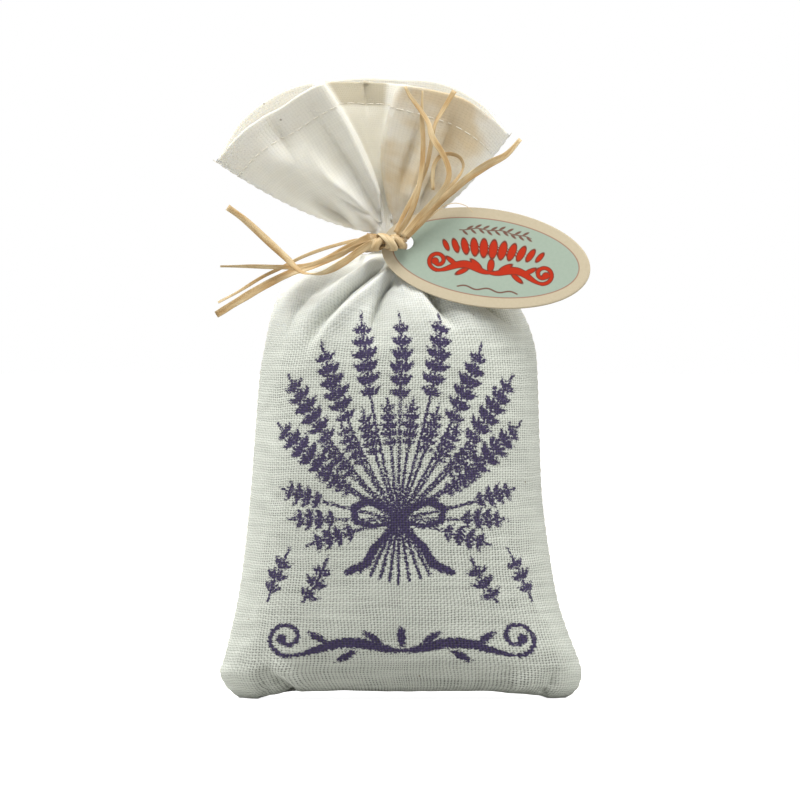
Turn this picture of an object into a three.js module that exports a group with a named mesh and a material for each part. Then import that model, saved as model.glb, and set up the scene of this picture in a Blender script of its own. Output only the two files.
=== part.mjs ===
// A lavender sachet: a sewn muslin bag of dried lavender buds, gathered and tied at the
// neck with raffia, with an oval card tag strung on the tie.
// Millimetres, +Z up. It stands on its base at Z = 0 with its front towards -Y.
import * as THREE from "three";

// The bag
const neckHeight = 113.8; // base to the middle of the tie
const mouthHeight = 155; // base to the highest point of the open mouth
const baseHalfWidth = 45.2; // half the width over the two bottom corners
const bellyHalfDepth = 20; // half the thickness of the filled belly
const neckHalfWidth = 3.4;
const neckHalfDepth = 4;
const neckLength = 5.2; // straight stretch under the binding
const neckOffset = -2.6; // the neck stands a little left of the middle
const mouthHalfWidth = 36.7; // half the width over the two tips of the mouth
const mouthOffset = -9.9; // the mouth leans to the left
const mouthHalfDepth = 11.5;
const clothThickness = 0.6; // muslin, with its fuzz
const hemThickness = 1.1; // the cloth turned in twice
const seamGap = 0.3; // between the two panels along their seams
const threadDiameter = 0.5;
const pieceGap = 0.3; // between pieces that touch

// The raffia
const strandThickness = 0.5;
const bindingWidth = 1.3;
const bindingTurns = 2;
const bindingTurnGap = 0.45; // between one turn and the next
const knotHalfLength = 4.6;
const knotHalfHeight = 2.1;
const knotHalfDepth = 1.9;
const knotStrandRadius = 0.62;

// The tag
const tagLength = 52.2;
const tagWidth = 25.9;
const tagThickness = 0.5;
const tagHoleRadius = 1.95;
const tagHoleInset = 6.9; // end of the card to the middle of the hole
const tagHoleRise = 1.3; // the hole is punched a little above the long axis
const tagLean = THREE.MathUtils.degToRad(19); // the tag leans back on the bag's shoulder
const tagTilt = THREE.MathUtils.degToRad(8.1); // its free end hangs this far below level
const tagStandOff = 9.4; // the card's middle in front of the neck's axis, at the hole
const stringRadius = 0.5;
const stringSlack = 1.1; // the string bears on the hole's edge, this far from its middle

// How finely the pieces are drawn
const panelColumns = 24;
const foldsPerPanel = 5;

// The filled body, from the bottom seam up. Height is a share of neckHeight, centre and
// width are shares of baseHalfWidth, depth of bellyHalfDepth. Fold is the share of the
// radius by which the gathers rise and fall, square is the squareness of the section, and
// tilt is the share of neckHeight by which the left side stands above the right one.
const bodyShares = [
  { height: 0, centre: 0, width: 0.915, depth: 0, fold: 0, square: 2, tilt: 0 },
  { height: 0, centre: 0, width: 0.94, depth: 0.52, fold: 0, square: 2, tilt: 0 },
  { height: 0.015, centre: 0.004, width: 0.972, depth: 0.69, fold: 0, square: 2, tilt: 0 },
  { height: 0.05, centre: -0.009, width: 1, depth: 0.8, fold: 0, square: 2, tilt: 0 },
  { height: 0.084, centre: -0.007, width: 0.982, depth: 0.86, fold: 0, square: 2, tilt: 0 },
  { height: 0.15, centre: -0.018, width: 0.932, depth: 0.92, fold: 0, square: 2.1, tilt: 0 },
  { height: 0.215, centre: -0.026, width: 0.888, depth: 0.955, fold: 0, square: 2.2, tilt: 0 },
  { height: 0.314, centre: -0.03, width: 0.847, depth: 0.985, fold: 0, square: 2.25, tilt: 0 },
  { height: 0.446, centre: -0.034, width: 0.808, depth: 1, fold: 0, square: 2.3, tilt: 0 },
  { height: 0.578, centre: -0.028, width: 0.788, depth: 0.99, fold: 0.004, square: 2.3, tilt: 0 },
  { height: 0.71, centre: -0.02, width: 0.768, depth: 0.92, fold: 0.012, square: 2.25, tilt: 0 },
  { height: 0.776, centre: -0.014, width: 0.744, depth: 0.84, fold: 0.03, square: 2.2, tilt: 0 },
  { height: 0.841, centre: -0.026, width: 0.697, depth: 0.715, fold: 0.055, square: 2.1, tilt: 0 },
  { height: 0.896, centre: -0.042, width: 0.622, depth: 0.565, fold: 0.08, square: 2, tilt: 0.004 },
  { height: 0.925, centre: -0.05, width: 0.531, depth: 0.465, fold: 0.1, square: 2, tilt: 0.008 },
  { height: 0.949, centre: -0.052, width: 0.37, depth: 0.36, fold: 0.12, square: 2, tilt: 0.012 },
  { height: 0.964, centre: -0.055, width: 0.21, depth: 0.285, fold: 0.12, square: 2, tilt: 0.01 },
];
const neckFoldShare = 0.1;

// The open mouth, from the left seam to the right one. across runs from -1 to 1 along the
// panel, side is a share of mouthHalfWidth, depth of mouthHalfDepth (minus is the front)
// and rise of the height from the tie to mouthHeight.
const frontMouthShares = [
  { across: -1, side: -1, depth: 0, rise: 0.49 },
  { across: -0.82, side: -0.89, depth: -0.48, rise: 0.665 },
  { across: -0.62, side: -0.7, depth: -0.83, rise: 0.81 },
  { across: -0.4, side: -0.47, depth: -1, rise: 0.9 },
  { across: -0.22, side: -0.27, depth: -0.87, rise: 0.95 },
  { across: -0.1, side: -0.185, depth: -0.44, rise: 0.97 },
  { across: 0, side: -0.13, depth: 0.1, rise: 0.975 },
  { across: 0.12, side: 0.05, depth: 0.32, rise: 0.97 },
  { across: 0.24, side: 0.22, depth: 0.12, rise: 0.955 },
  { across: 0.36, side: 0.335, depth: -0.36, rise: 0.94 },
  { across: 0.52, side: 0.5, depth: -0.78, rise: 0.93 },
  { across: 0.7, side: 0.7, depth: -0.78, rise: 0.87 },
  { across: 0.86, side: 0.88, depth: -0.48, rise: 0.76 },
  { across: 1, side: 1, depth: 0, rise: 0.65 },
];
const backMouthShares = [
  { across: -1, side: -1, depth: 0, rise: 0.49 },
  { across: -0.7, side: -0.82, depth: 0.62, rise: 0.75 },
  { across: -0.4, side: -0.5, depth: 0.93, rise: 0.94 },
  { across: -0.1, side: -0.12, depth: 1, rise: 1 },
  { across: 0.2, side: 0.22, depth: 0.98, rise: 1 },
  { across: 0.5, side: 0.55, depth: 0.85, rise: 0.97 },
  { across: 0.8, side: 0.84, depth: 0.52, rise: 0.83 },
  { across: 1, side: 1, depth: 0, rise: 0.65 },
];
// Places along the gathered cloth from the tie to the mouth; the hem begins at the third last
const skirtShares = [0.14, 0.32, 0.52, 0.76, 0.86, 1];
const hemRows = 2;
const flareSideShare = 0.42; // how early the gathered cloth spreads sideways
const flareRiseShare = 0.14; // and how late it rises
const fillHeightShare = 0.841; // the buds reach this share of neckHeight
// The heap's top: rings drawn in to a share of the last one, each a share of neckHeight above it
const heapShares = [
  { shrink: 0.8, rise: 0.026 },
  { shrink: 0.45, rise: 0.044 },
];

const unbleached = 0xe2ddcd;
const rawMuslin = 0xcfd2c6;

function clothMaterial(color) {
  return new THREE.MeshStandardMaterial({ color, roughness: 0.95, metalness: 0 });
}

const raffiaMaterial = new THREE.MeshStandardMaterial({
  color: 0xd9bd85,
  roughness: 0.6,
  metalness: 0,
});

const sachet = new THREE.Group();

function addPiece(name, geometry, material, holder = sachet) {
  const piece = new THREE.Mesh(geometry, material);
  piece.name = name;
  holder.add(piece);
  return piece;
}

// One point of the filled body's section. across is -1 at the left seam and 1 at the
// right one; facing is -1 on the front panel and 1 on the back one.
function sectionPoint(section, across, facing) {
  const turn = ((across + 1) / 2) * Math.PI;
  const power = 2 / section.square;
  const side = -Math.sign(Math.cos(turn)) * Math.abs(Math.cos(turn)) ** power;
  const out = Math.max(Math.sin(turn), 0) ** power;
  const gather = Math.cos(2 * foldsPerPanel * turn) * Math.sin(turn);
  const radius = 1 + section.fold * gather;
  return new THREE.Vector3(
    section.centre + section.halfWidth * side * radius,
    facing * (seamGap / 2 + section.halfDepth * out * radius),
    section.height - section.tilt * side,
  );
}

const bodySections = bodyShares.map((share) => ({
  height: share.height * neckHeight,
  centre: share.centre * baseHalfWidth,
  halfWidth: share.width * baseHalfWidth,
  halfDepth: share.depth * bellyHalfDepth,
  fold: share.fold,
  square: share.square,
  tilt: share.tilt * neckHeight,
}));

const neckSections = [-1, 1].map((end) => ({
  height: neckHeight + (end * neckLength) / 2,
  centre: neckOffset,
  halfWidth: neckHalfWidth,
  halfDepth: neckHalfDepth,
  fold: neckFoldShare,
  square: 2,
  tilt: 0,
}));

// A smooth value through a table's rows, for one of its named columns
function alongTable(table, across, column) {
  let row = 0;
  while (row < table.length - 2 && across > table[row + 1].across) row += 1;
  const before = table[Math.max(row - 1, 0)];
  const start = table[row];
  const end = table[row + 1];
  const after = table[Math.min(row + 2, table.length - 1)];
  const span = end.across - start.across;
  const share = (across - start.across) / span;
  const leaving = ((end[column] - before[column]) / (end.across - before.across)) * span;
  const arriving = ((after[column] - start[column]) / (after.across - start.across)) * span;
  const squared = share * share;
  const cubed = squared * share;
  return (
    start[column] * (2 * cubed - 3 * squared + 1) +
    leaving * (cubed - 2 * squared + share) +
    end[column] * (3 * squared - 2 * cubed) +
    arriving * (cubed - squared)
  );
}

function mouthPoint(across, facing) {
  const table = facing < 0 ? frontMouthShares : backMouthShares;
  const rise = alongTable(table, across, "rise");
  return new THREE.Vector3(
    mouthOffset + mouthHalfWidth * alongTable(table, across, "side"),
    mouthHalfDepth * alongTable(table, across, "depth") + (facing * seamGap) / 2,
    neckHeight + rise * (mouthHeight - neckHeight),
  );
}

// The gathered cloth above the tie runs from the neck, out sideways, then up to the mouth.
function skirtPoint(across, facing, share) {
  const neck = sectionPoint(neckSections[1], across, facing);
  const mouth = mouthPoint(across, facing);
  const bend = new THREE.Vector3(
    THREE.MathUtils.lerp(neck.x, mouth.x, flareSideShare),
    THREE.MathUtils.lerp(neck.y, mouth.y, flareSideShare),
    THREE.MathUtils.lerp(neck.z, mouth.z, flareRiseShare),
  );
  return new THREE.QuadraticBezierCurve3(neck, bend, mouth).getPoint(share);
}

// A panel's outer face as rows of points from the bottom seam to the mouth
function panelGrid(facing) {
  const acrossAt = (column) => (2 * column) / panelColumns - 1;
  const rows = [];
  for (const section of [...bodySections, ...neckSections]) {
    rows.push((column) => sectionPoint(section, acrossAt(column), facing));
  }
  for (const share of skirtShares) {
    rows.push((column) => skirtPoint(acrossAt(column), facing, share));
  }
  return rows.map((pointAt) => {
    const points = [];
    for (let column = 0; column <= panelColumns; column += 1) points.push(pointAt(column));
    return points;
  });
}

// The directions that point out of the cloth at each point of a panel's grid. Along the
// seams they stay in the plane of the seam, so that the two panels never cross.
function outwardGrid(grid, facing) {
  const depthAxis = new THREE.Vector3(0, 1, 0);
  const lastRow = grid.length - 1;
  return grid.map((points, row) =>
    points.map((point, column) => {
      if (row === 0) return new THREE.Vector3(0, 0, -1);
      const above = grid[Math.min(row + 1, lastRow)][column];
      const below = grid[row - 1][column];
      const upwards = above.clone().sub(below);
      const atLeft = column === 0;
      const atRight = column === panelColumns;
      if (atLeft || atRight) {
        return upwards.cross(depthAxis).multiplyScalar(atLeft ? 1 : -1).normalize();
      }
      const sideways = points[column + 1].clone().sub(points[column - 1]);
      return sideways.cross(upwards).multiplyScalar(-facing).normalize();
    }),
  );
}

function movedGrid(grid, directions, distanceAtRow) {
  return grid.map((points, row) =>
    points.map((point, column) =>
      point.clone().addScaledVector(directions[row][column], distanceAtRow(row)),
    ),
  );
}

function geometryOf(points, triangles) {
  const geometry = new THREE.BufferGeometry().setFromPoints(points);
  geometry.setIndex(triangles);
  geometry.computeVertexNormals();
  return geometry;
}

// A closed sheet between an outer and an inner grid of points
function sheetGeometry(outer, inner, facing) {
  const columns = outer[0].length;
  const rows = outer.length;
  const points = [...outer.flat(), ...inner.flat()];
  const triangles = [];
  const at = (layer, row, column) => (layer * rows + row) * columns + column;
  const addFace = (a, b, c, d) => {
    if (facing < 0) triangles.push(a, b, c, a, c, d);
    else triangles.push(a, c, b, a, d, c);
  };
  for (let row = 0; row < rows - 1; row += 1) {
    for (let column = 0; column < columns - 1; column += 1) {
      addFace(
        at(0, row, column),
        at(0, row, column + 1),
        at(0, row + 1, column + 1),
        at(0, row + 1, column),
      );
      addFace(
        at(1, row, column),
        at(1, row + 1, column),
        at(1, row + 1, column + 1),
        at(1, row, column + 1),
      );
    }
    addFace(at(0, row, 0), at(0, row + 1, 0), at(1, row + 1, 0), at(1, row, 0));
    const last = columns - 1;
    addFace(at(0, row, last), at(1, row, last), at(1, row + 1, last), at(0, row + 1, last));
  }
  for (let column = 0; column < columns - 1; column += 1) {
    const top = rows - 1;
    addFace(at(0, 0, column), at(1, 0, column), at(1, 0, column + 1), at(0, 0, column + 1));
    addFace(
      at(0, top, column),
      at(0, top, column + 1),
      at(1, top, column + 1),
      at(1, top, column),
    );
  }
  return geometryOf(points, triangles);
}

// The cloth bag: a front and a back panel, sewn at the sides and along the bottom
const panels = {};
for (const [name, facing] of [["front_panel", -1], ["back_panel", 1]]) {
  const outer = panelGrid(facing);
  const outward = outwardGrid(outer, facing);
  const hemStart = outer.length - hemRows;
  const inner = movedGrid(outer, outward, (row) =>
    row < hemStart ? -clothThickness : -hemThickness,
  );
  panels[name] = { outer, outward, inner, hemStart };
  addPiece(name, sheetGeometry(outer, inner, facing), clothMaterial(unbleached));
}

// The buds: a closed heap, clear of the cloth and of the threads inside it
const fillInset = clothThickness + threadDiameter + 5 * pieceGap;

function fillingGeometry() {
  const rings = [];
  const ringOf = (section, shrink) => {
    const points = [];
    const steps = panelColumns / 2;
    const inner = {
      ...section,
      halfWidth: (section.halfWidth * (1 - section.fold) - fillInset) * shrink,
      halfDepth: (section.halfDepth * (1 - section.fold) - fillInset) * shrink,
      fold: 0,
    };
    for (const facing of [-1, 1]) {
      for (let step = 0; step < steps; step += 1) {
        points.push(sectionPoint(inner, -facing * ((2 * step) / steps - 1), facing));
      }
    }
    return points;
  };
  const filled = bodySections.filter(
    (section) => section.halfDepth > 0 && section.height <= fillHeightShare * neckHeight,
  );
  const floor = { ...filled[0], height: fillInset };
  rings.push(ringOf(floor, 1));
  for (const section of filled) {
    if (section.height > 2 * fillInset) rings.push(ringOf(section, 1));
  }
  const top = filled.at(-1);
  for (const { shrink, rise } of heapShares) {
    rings.push(ringOf({ ...top, height: top.height + rise * neckHeight }, shrink));
  }
  const count = rings[0].length;
  const points = rings.flat();
  const triangles = [];
  for (let ring = 0; ring < rings.length - 1; ring += 1) {
    for (let step = 0; step < count; step += 1) {
      const next = (step + 1) % count;
      const a = ring * count + step;
      const b = ring * count + next;
      triangles.push(a, b, b + count, a, b + count, a + count);
    }
  }
  const closeRing = (ring, upwards) => {
    const centre = rings[ring]
      .reduce((sum, point) => sum.add(point), new THREE.Vector3())
      .divideScalar(count);
    points.push(centre);
    for (let step = 0; step < count; step += 1) {
      const a = ring * count + step;
      const b = ring * count + ((step + 1) % count);
      if (upwards) triangles.push(a, b, points.length - 1);
      else triangles.push(b, a, points.length - 1);
    }
  };
  closeRing(0, false);
  closeRing(rings.length - 1, true);
  return geometryOf(points, triangles);
}

addPiece("lavender_filling", fillingGeometry(), clothMaterial(0x6c5f86));

// A strand of even section along a smooth path. halfAcross is its half size along the
// path's first normal and halfAlong along the second.
function strandGeometry(points, halfAcross, halfAlong, steps, sides = 8, tension = 0.5) {
  const outline = [];
  for (let side = 0; side < sides; side += 1) {
    const turn = ((side + 0.5) / sides) * 2 * Math.PI;
    outline.push(
      new THREE.Vector2(halfAcross * Math.cos(turn), halfAlong * Math.sin(turn)),
    );
  }
  return new THREE.ExtrudeGeometry(new THREE.Shape(outline), {
    steps,
    bevelEnabled: false,
    extrudePath: new THREE.CatmullRomCurve3(points, false, "catmullrom", tension),
  });
}

// The sewing threads. The side and bottom seams are sewn from inside, the hem from outside.
const threadRadius = threadDiameter / 2;
const threadOffset = 3 * pieceGap + threadRadius;
const threadSides = 6;
const threadTension = 0.1; // low, so that the thread keeps close to its corners
const threadMaterial = clothMaterial(0xe9e6da);

function seamThread(column) {
  const { inner, outward, hemStart } = panels.front_panel;
  const points = [];
  for (let row = 2; row < hemStart; row += 1) {
    const point = inner[row][column].clone();
    point.addScaledVector(outward[row][column], -threadOffset);
    point.y = 0;
    points.push(point);
  }
  return points;
}

function addThread(name, route, steps) {
  addPiece(
    name,
    strandGeometry(route, threadRadius, threadRadius, steps, threadSides, threadTension),
    threadMaterial,
  );
}

for (const [name, column] of [["left_seam_thread", 0], ["right_seam_thread", panelColumns]]) {
  const route = seamThread(column);
  addThread(name, route, 2 * route.length);
}

const bottomReach = bodySections[0].halfWidth - clothThickness - 2 * threadOffset;
const bottomRoute = [-1, -0.5, 0, 0.5, 1].map(
  (share) => new THREE.Vector3(share * bottomReach, 0, clothThickness + threadOffset),
);
addThread("bottom_seam_thread", bottomRoute, bottomRoute.length);

function hemRoute() {
  const route = [];
  for (const name of ["front_panel", "back_panel"]) {
    const { outer, outward, hemStart } = panels[name];
    const side = [];
    const last = name === "front_panel" ? panelColumns : panelColumns - 1;
    for (let column = 1; column <= last; column += 1) {
      const point = outer[hemStart][column].clone();
      side.push(point.addScaledVector(outward[hemStart][column], threadOffset));
    }
    route.push(...(name === "front_panel" ? side : side.reverse()));
  }
  return route;
}

const hemPoints = hemRoute();
addThread("hem_thread", hemPoints, 2 * hemPoints.length);

// The tag's frame: the origin is where the string passes through the card, X runs along
// the card to its free end, Y across it and Z out of its printed face.
const tieMiddle = new THREE.Vector3(neckOffset, 0, neckHeight);
const stringAcross = 3.4; // the string passes this far right of the neck's middle
const leanAcross = new THREE.Vector3(1, 0, 0);
const leanUp = new THREE.Vector3(0, Math.sin(tagLean), Math.cos(tagLean));
const leanOut = new THREE.Vector3(0, -Math.cos(tagLean), Math.sin(tagLean));

const tieFrame = new THREE.Group();
tieFrame.position.set(tieMiddle.x + stringAcross, -tagStandOff, neckHeight);
tieFrame.quaternion.setFromRotationMatrix(
  new THREE.Matrix4().makeBasis(leanAcross, leanUp, leanOut),
);
sachet.add(tieFrame);

const tagFrame = new THREE.Group();
tagFrame.rotation.z = -tagTilt;
tieFrame.add(tagFrame);

function tagGeometry() {
  const holeX = stringSlack;
  const middleX = holeX + tagLength / 2 - tagHoleInset;
  const outline = new THREE.Shape();
  outline.absellipse(middleX, -tagHoleRise, tagLength / 2, tagWidth / 2, 0, 2 * Math.PI);
  const hole = new THREE.Path();
  hole.absarc(holeX, 0, tagHoleRadius, 0, 2 * Math.PI, true);
  outline.holes.push(hole);
  const card = new THREE.ExtrudeGeometry(outline, {
    depth: tagThickness,
    bevelEnabled: false,
    curveSegments: 24,
  });
  return card.translate(0, 0, -tagThickness / 2);
}

const cardMaterial = new THREE.MeshStandardMaterial({
  color: 0xb7bfae,
  roughness: 0.7,
  metalness: 0,
});
addPiece("hang_tag", tagGeometry(), cardMaterial, tagFrame);

// The tie: a binding of two turns round the neck, a knot in front of the tag's end, and
// the string that passes from the knot through the tag's hole to the binding
const knotAcross = -3.6; // the knot's middle from the string, along the tie frame's X
const knotRise = -0.75;
const knotOut = tagThickness / 2 + pieceGap + knotHalfDepth;
const trefoilReachShare = 1.5; // a trefoil's widest point, in radii of its loop
const trefoilDepthShare = 0.5;
const knotSteps = 54;
const knotSides = 6;

function knotGeometry() {
  const loop = (knotHalfLength - knotStrandRadius) / trefoilReachShare;
  const knot = new THREE.TorusKnotGeometry(loop, knotStrandRadius, knotSteps, knotSides, 2, 3);
  const reach = trefoilReachShare * loop + knotStrandRadius;
  const thick = trefoilDepthShare * loop + knotStrandRadius;
  return knot.scale(knotHalfLength / reach, knotHalfHeight / reach, knotHalfDepth / thick);
}

const knot = addPiece("tie_knot", knotGeometry(), raffiaMaterial, tieFrame);
knot.position.set(knotAcross, knotRise, knotOut);
knot.rotation.z = Math.PI;

const stringFront = knotOut - knotHalfDepth / 2 - knotStrandRadius - 2 * pieceGap;
const stringReachShare = 0.9; // at most this share of the binding's half width
const bindingClearance = pieceGap + strandThickness;
const bindingHalfWidth = neckHalfWidth * (1 + neckFoldShare) + bindingClearance;
const bindingHalfDepth = neckHalfDepth * (1 + neckFoldShare) + bindingClearance;
const stringShare = Math.min(
  stringAcross / (bindingHalfWidth + strandThickness),
  stringReachShare,
);
const bindingFront = bindingHalfDepth * Math.sqrt(1 - stringShare ** 2) + strandThickness / 2;
const stringBack = (tagStandOff - bindingFront - pieceGap) / Math.cos(tagLean);
const stringLength = stringFront + stringBack;
const string = addPiece(
  "tag_string",
  new THREE.CylinderGeometry(stringRadius, stringRadius, stringLength, 8),
  raffiaMaterial,
  tieFrame,
);
string.rotation.x = Math.PI / 2;
string.position.z = (stringFront - stringBack) / 2;

sachet.updateMatrixWorld(true);
const knotMiddle = knot.getWorldPosition(new THREE.Vector3());

// The binding's end runs from the knot round the left of the tag to the neck.
const bindingStepsPerTurn = 16;
const bindingSides = 6;

function bindingRoute() {
  const besideKnot = knotMiddle.x - knotHalfLength - pieceGap - bindingWidth / 2;
  const lowTurn = neckHeight - bindingWidth;
  const route = [
    new THREE.Vector3(besideKnot, knotMiddle.y, (knotMiddle.z + lowTurn) / 2 - pieceGap),
    new THREE.Vector3(besideKnot - knotHalfDepth, knotMiddle.y + knotHalfDepth, lowTurn),
    new THREE.Vector3(besideKnot - knotHalfDepth, knotMiddle.y / 2, lowTurn),
  ];
  const climb = bindingWidth + bindingTurnGap;
  for (let step = 0; step <= bindingTurns * bindingStepsPerTurn; step += 1) {
    const turns = step / bindingStepsPerTurn;
    const turn = Math.PI * (1 - 2 * turns);
    route.push(
      new THREE.Vector3(
        neckOffset + bindingHalfWidth * Math.cos(turn),
        bindingHalfDepth * Math.sin(turn),
        neckHeight + climb * (turns - bindingTurns / 2),
      ),
    );
  }
  return route;
}

// The least clear distance between two turns of a strand, measured on points of its route
function leastGap(route, apart, width) {
  let least = Infinity;
  route.forEach((point, index) => {
    for (const other of route.slice(index + apart)) {
      least = Math.min(least, point.distanceTo(other) - width);
    }
  });
  return least;
}

const bindingPoints = bindingRoute();
const bindingGap = leastGap(bindingPoints, bindingStepsPerTurn / 2, bindingWidth);
console.log(`neck_binding: least gap to itself ${bindingGap.toFixed(2)} mm`);
addPiece(
  "neck_binding",
  strandGeometry(
    bindingPoints,
    bindingWidth / 2,
    strandThickness / 2,
    (bindingTurns + 1) * bindingStepsPerTurn,
    bindingSides,
  ),
  raffiaMaterial,
);

// The free ends of the raffia. Each route is a hand-chosen list of steps from the knot's
// end: across, forwards and up.
const leftStart = new THREE.Vector3(-knotHalfLength - pieceGap, 0, 0).add(knotMiddle);
const rightStart = new THREE.Vector3(knotHalfLength / 2, 0, knotHalfHeight).add(knotMiddle);

const tails = [
  {
    name: "left_tail_1",
    start: leftStart,
    width: 1.9,
    route: [
      [0.3, -1.4, -0.2], [-3, -1.6, -2.2], [-7, -1.6, -5.1], [-12.5, -1.2, -7.7],
      [-17, -1.3, -7.5], [-21, -1.8, -4], [-26, -2.4, 0.6], [-31.5, -2.8, 5.6],
      [-35.6, -3, 8.6],
    ],
  },
  {
    name: "left_tail_2",
    start: leftStart,
    width: 1.2,
    route: [
      [0, -0.5, 0.1], [-4, -0.5, -1.3], [-10, -0.3, -3.9], [-17, 0.2, -6],
      [-22.5, 0.2, -6.2], [-30, 0.2, -6], [-37.5, 0, -6],
    ],
  },
  {
    name: "left_tail_3",
    start: leftStart,
    width: 0.9,
    route: [
      [0.3, 0.9, 0.8], [-4, 1.1, 0.4], [-11, 1.6, -1.4], [-17, 1.6, -3.6],
      [-22.5, 1.4, -6.4], [-27, 1.2, -8.6], [-33, 0.4, -12.3], [-38, -0.4, -15],
    ],
  },
  {
    name: "left_tail_4",
    start: leftStart,
    width: 2,
    route: [
      [-0.3, 0.2, 1.3], [-4, 0.3, -0.5], [-9, 1.1, -3.4], [-15, 2, -6],
      [-20, 2.3, -7.6], [-26.5, 1.4, -10.8], [-33, 0.4, -14.6], [-38.5, -0.4, -18],
    ],
  },
  {
    name: "right_tail_1",
    start: rightStart,
    width: 1.5,
    route: [
      [0.6, -1.9, -0.6], [5, -1.9, 4.5], [9, -2.3, 9], [11.5, -2.6, 12.4],
      [12, -2.7, 15.6], [10.5, -2.6, 19.6], [7.8, -2.4, 24], [6.9, -2.2, 27.4],
      [4.9, -2, 30.6], [2.4, -1.8, 34], [1.2, -1.7, 36.4],
    ],
  },
  {
    name: "right_tail_2",
    start: rightStart,
    width: 1.3,
    route: [
      [-0.6, -0.7, -0.4], [2.5, -0.9, 5], [4.4, -1.1, 10.8], [5.4, -1.3, 17],
      [5.6, -1.3, 23], [5.3, -1.2, 29], [5.5, -1.1, 35.4],
    ],
  },
  {
    name: "right_tail_3",
    start: rightStart,
    width: 1.1,
    route: [
      [-1.3, 0, 0.3], [0.8, 0.1, 4.6], [3.6, 0, 10], [6.3, -0.2, 16],
      [7.6, -0.3, 22], [8.6, -0.4, 27], [10.8, -0.4, 31], [13.4, -0.4, 35.4],
    ],
  },
  {
    name: "right_tail_4",
    start: rightStart,
    width: 1.9,
    route: [
      [1.2, 0.7, -0.9], [5.5, 0.8, 3.4], [9.5, 0.8, 7.6], [13.4, 0.7, 11],
      [17, 0.5, 14], [21.8, 0.2, 17.2], [26.3, -0.1, 19.6], [29.8, -0.3, 23.4],
    ],
  },
  {
    name: "right_tail_5",
    start: rightStart,
    width: 1.1,
    route: [
      [0.7, -0.3, -0.9], [5.6, -0.4, 4.8], [10, -0.5, 9.9], [13.6, -0.7, 13],
      [15.6, -1, 16.4], [14.8, -1.3, 18.8], [12.2, -1.5, 19.8], [9.7, -1.6, 19],
      [8.3, -1.5, 16.8], [8, -1.4, 13], [8.1, -1.3, 10.8],
    ],
  },
];
const widthsPerStep = 3;
for (const { name, start, width, route } of tails) {
  const points = route.map((step) => new THREE.Vector3(...step).add(start));
  const length = new THREE.CatmullRomCurve3(points).getLength();
  const steps = Math.max(route.length, Math.round(length / (widthsPerStep * width)));
  addPiece(
    name,
    strandGeometry(points, strandThickness / 2, width / 2, steps),
    raffiaMaterial,
  );
}

export default sachet;
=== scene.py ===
# A lavender sachet: a sewn muslin bag of dried buds, tied with raffia, with an oval card tag.
import math
from functools import partial

import bmesh
import bpy
import numpy as np
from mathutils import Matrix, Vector, noise


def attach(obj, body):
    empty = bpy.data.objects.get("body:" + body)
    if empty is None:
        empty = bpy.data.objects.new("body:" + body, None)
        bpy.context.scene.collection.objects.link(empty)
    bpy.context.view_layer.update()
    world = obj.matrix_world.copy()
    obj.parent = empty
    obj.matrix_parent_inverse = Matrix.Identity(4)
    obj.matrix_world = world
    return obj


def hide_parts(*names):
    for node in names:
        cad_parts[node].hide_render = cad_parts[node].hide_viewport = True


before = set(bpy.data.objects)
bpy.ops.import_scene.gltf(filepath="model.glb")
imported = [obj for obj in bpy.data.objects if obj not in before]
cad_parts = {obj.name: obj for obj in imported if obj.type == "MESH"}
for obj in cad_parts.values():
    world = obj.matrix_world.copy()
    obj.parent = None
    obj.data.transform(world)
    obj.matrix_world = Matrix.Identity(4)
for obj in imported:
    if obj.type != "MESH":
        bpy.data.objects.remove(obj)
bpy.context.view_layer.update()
mm = 0.001
scene = bpy.context.scene
scene.view_settings.view_transform = "Standard"


# Colours, nodes and meshes

def colour(hexValue):
    # an sRGB hex value as the linear colour that a shader takes
    parts = [((hexValue >> shift) & 255) / 255 for shift in (16, 8, 0)]
    return (*[c / 12.92 if c <= 0.04045 else ((c + 0.055) / 1.055) ** 2.4 for c in parts], 1)


# where a node's main output isn't its first: a mix's colour, and an attribute's number
mainOutput = {"ShaderNodeMix": 2, "ShaderNodeAttribute": 2}


def feed(node, inputs):
    # sets a node's inputs: each is a value, an output, or a node that gives its main output
    for key, value in inputs.items() if isinstance(inputs, dict) else enumerate(inputs):
        if isinstance(value, bpy.types.Node):
            value = value.outputs[mainOutput.get(value.bl_idname, 0)]
        if isinstance(value, bpy.types.NodeSocket):
            node.id_data.links.new(value, node.inputs[key])
        elif value is not None:
            node.inputs[key].default_value = value


def addNode(tree, kind, inputs=(), stops=(), **settings):
    # one node with its settings and links, and a ramp's stops as (place, sRGB hex value)
    node = tree.nodes.new(kind if "Node" in kind else "ShaderNode" + kind)
    for name, value in settings.items():
        setattr(node, name, value)
    for stop, (place, tone) in zip(node.color_ramp.elements if stops else (), stops):
        stop.position, stop.color = place, colour(tone)
    feed(node, inputs)
    return node


def newMaterial(name):
    material = bpy.data.materials.new(name)
    material.use_nodes = True
    material.node_tree.nodes.clear()
    add = partial(addNode, material.node_tree)
    shader = add("BsdfPrincipled")
    add("OutputMaterial", {"Surface": shader})
    return material, add, shader


def meshObject(name, points, faces, uvs=None, material=None, smooth=True):
    mesh = bpy.data.meshes.new(name)
    mesh.from_pydata([tuple(p) for p in np.asarray(points, float)], [], [tuple(f) for f in faces])
    if uvs is not None:
        layer = mesh.uv_layers.new(name="cloth")
        corners = np.zeros(len(mesh.loops), np.int32)
        mesh.loops.foreach_get("vertex_index", corners)
        layer.data.foreach_set("uv", np.asarray(uvs, np.float32)[corners].ravel())
    mesh.polygons.foreach_set("use_smooth", [smooth] * len(mesh.polygons))
    mesh.update()
    made = bpy.data.objects.new(name, mesh)
    scene.collection.objects.link(made)
    if material:
        mesh.materials.append(material)
    return made


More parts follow.
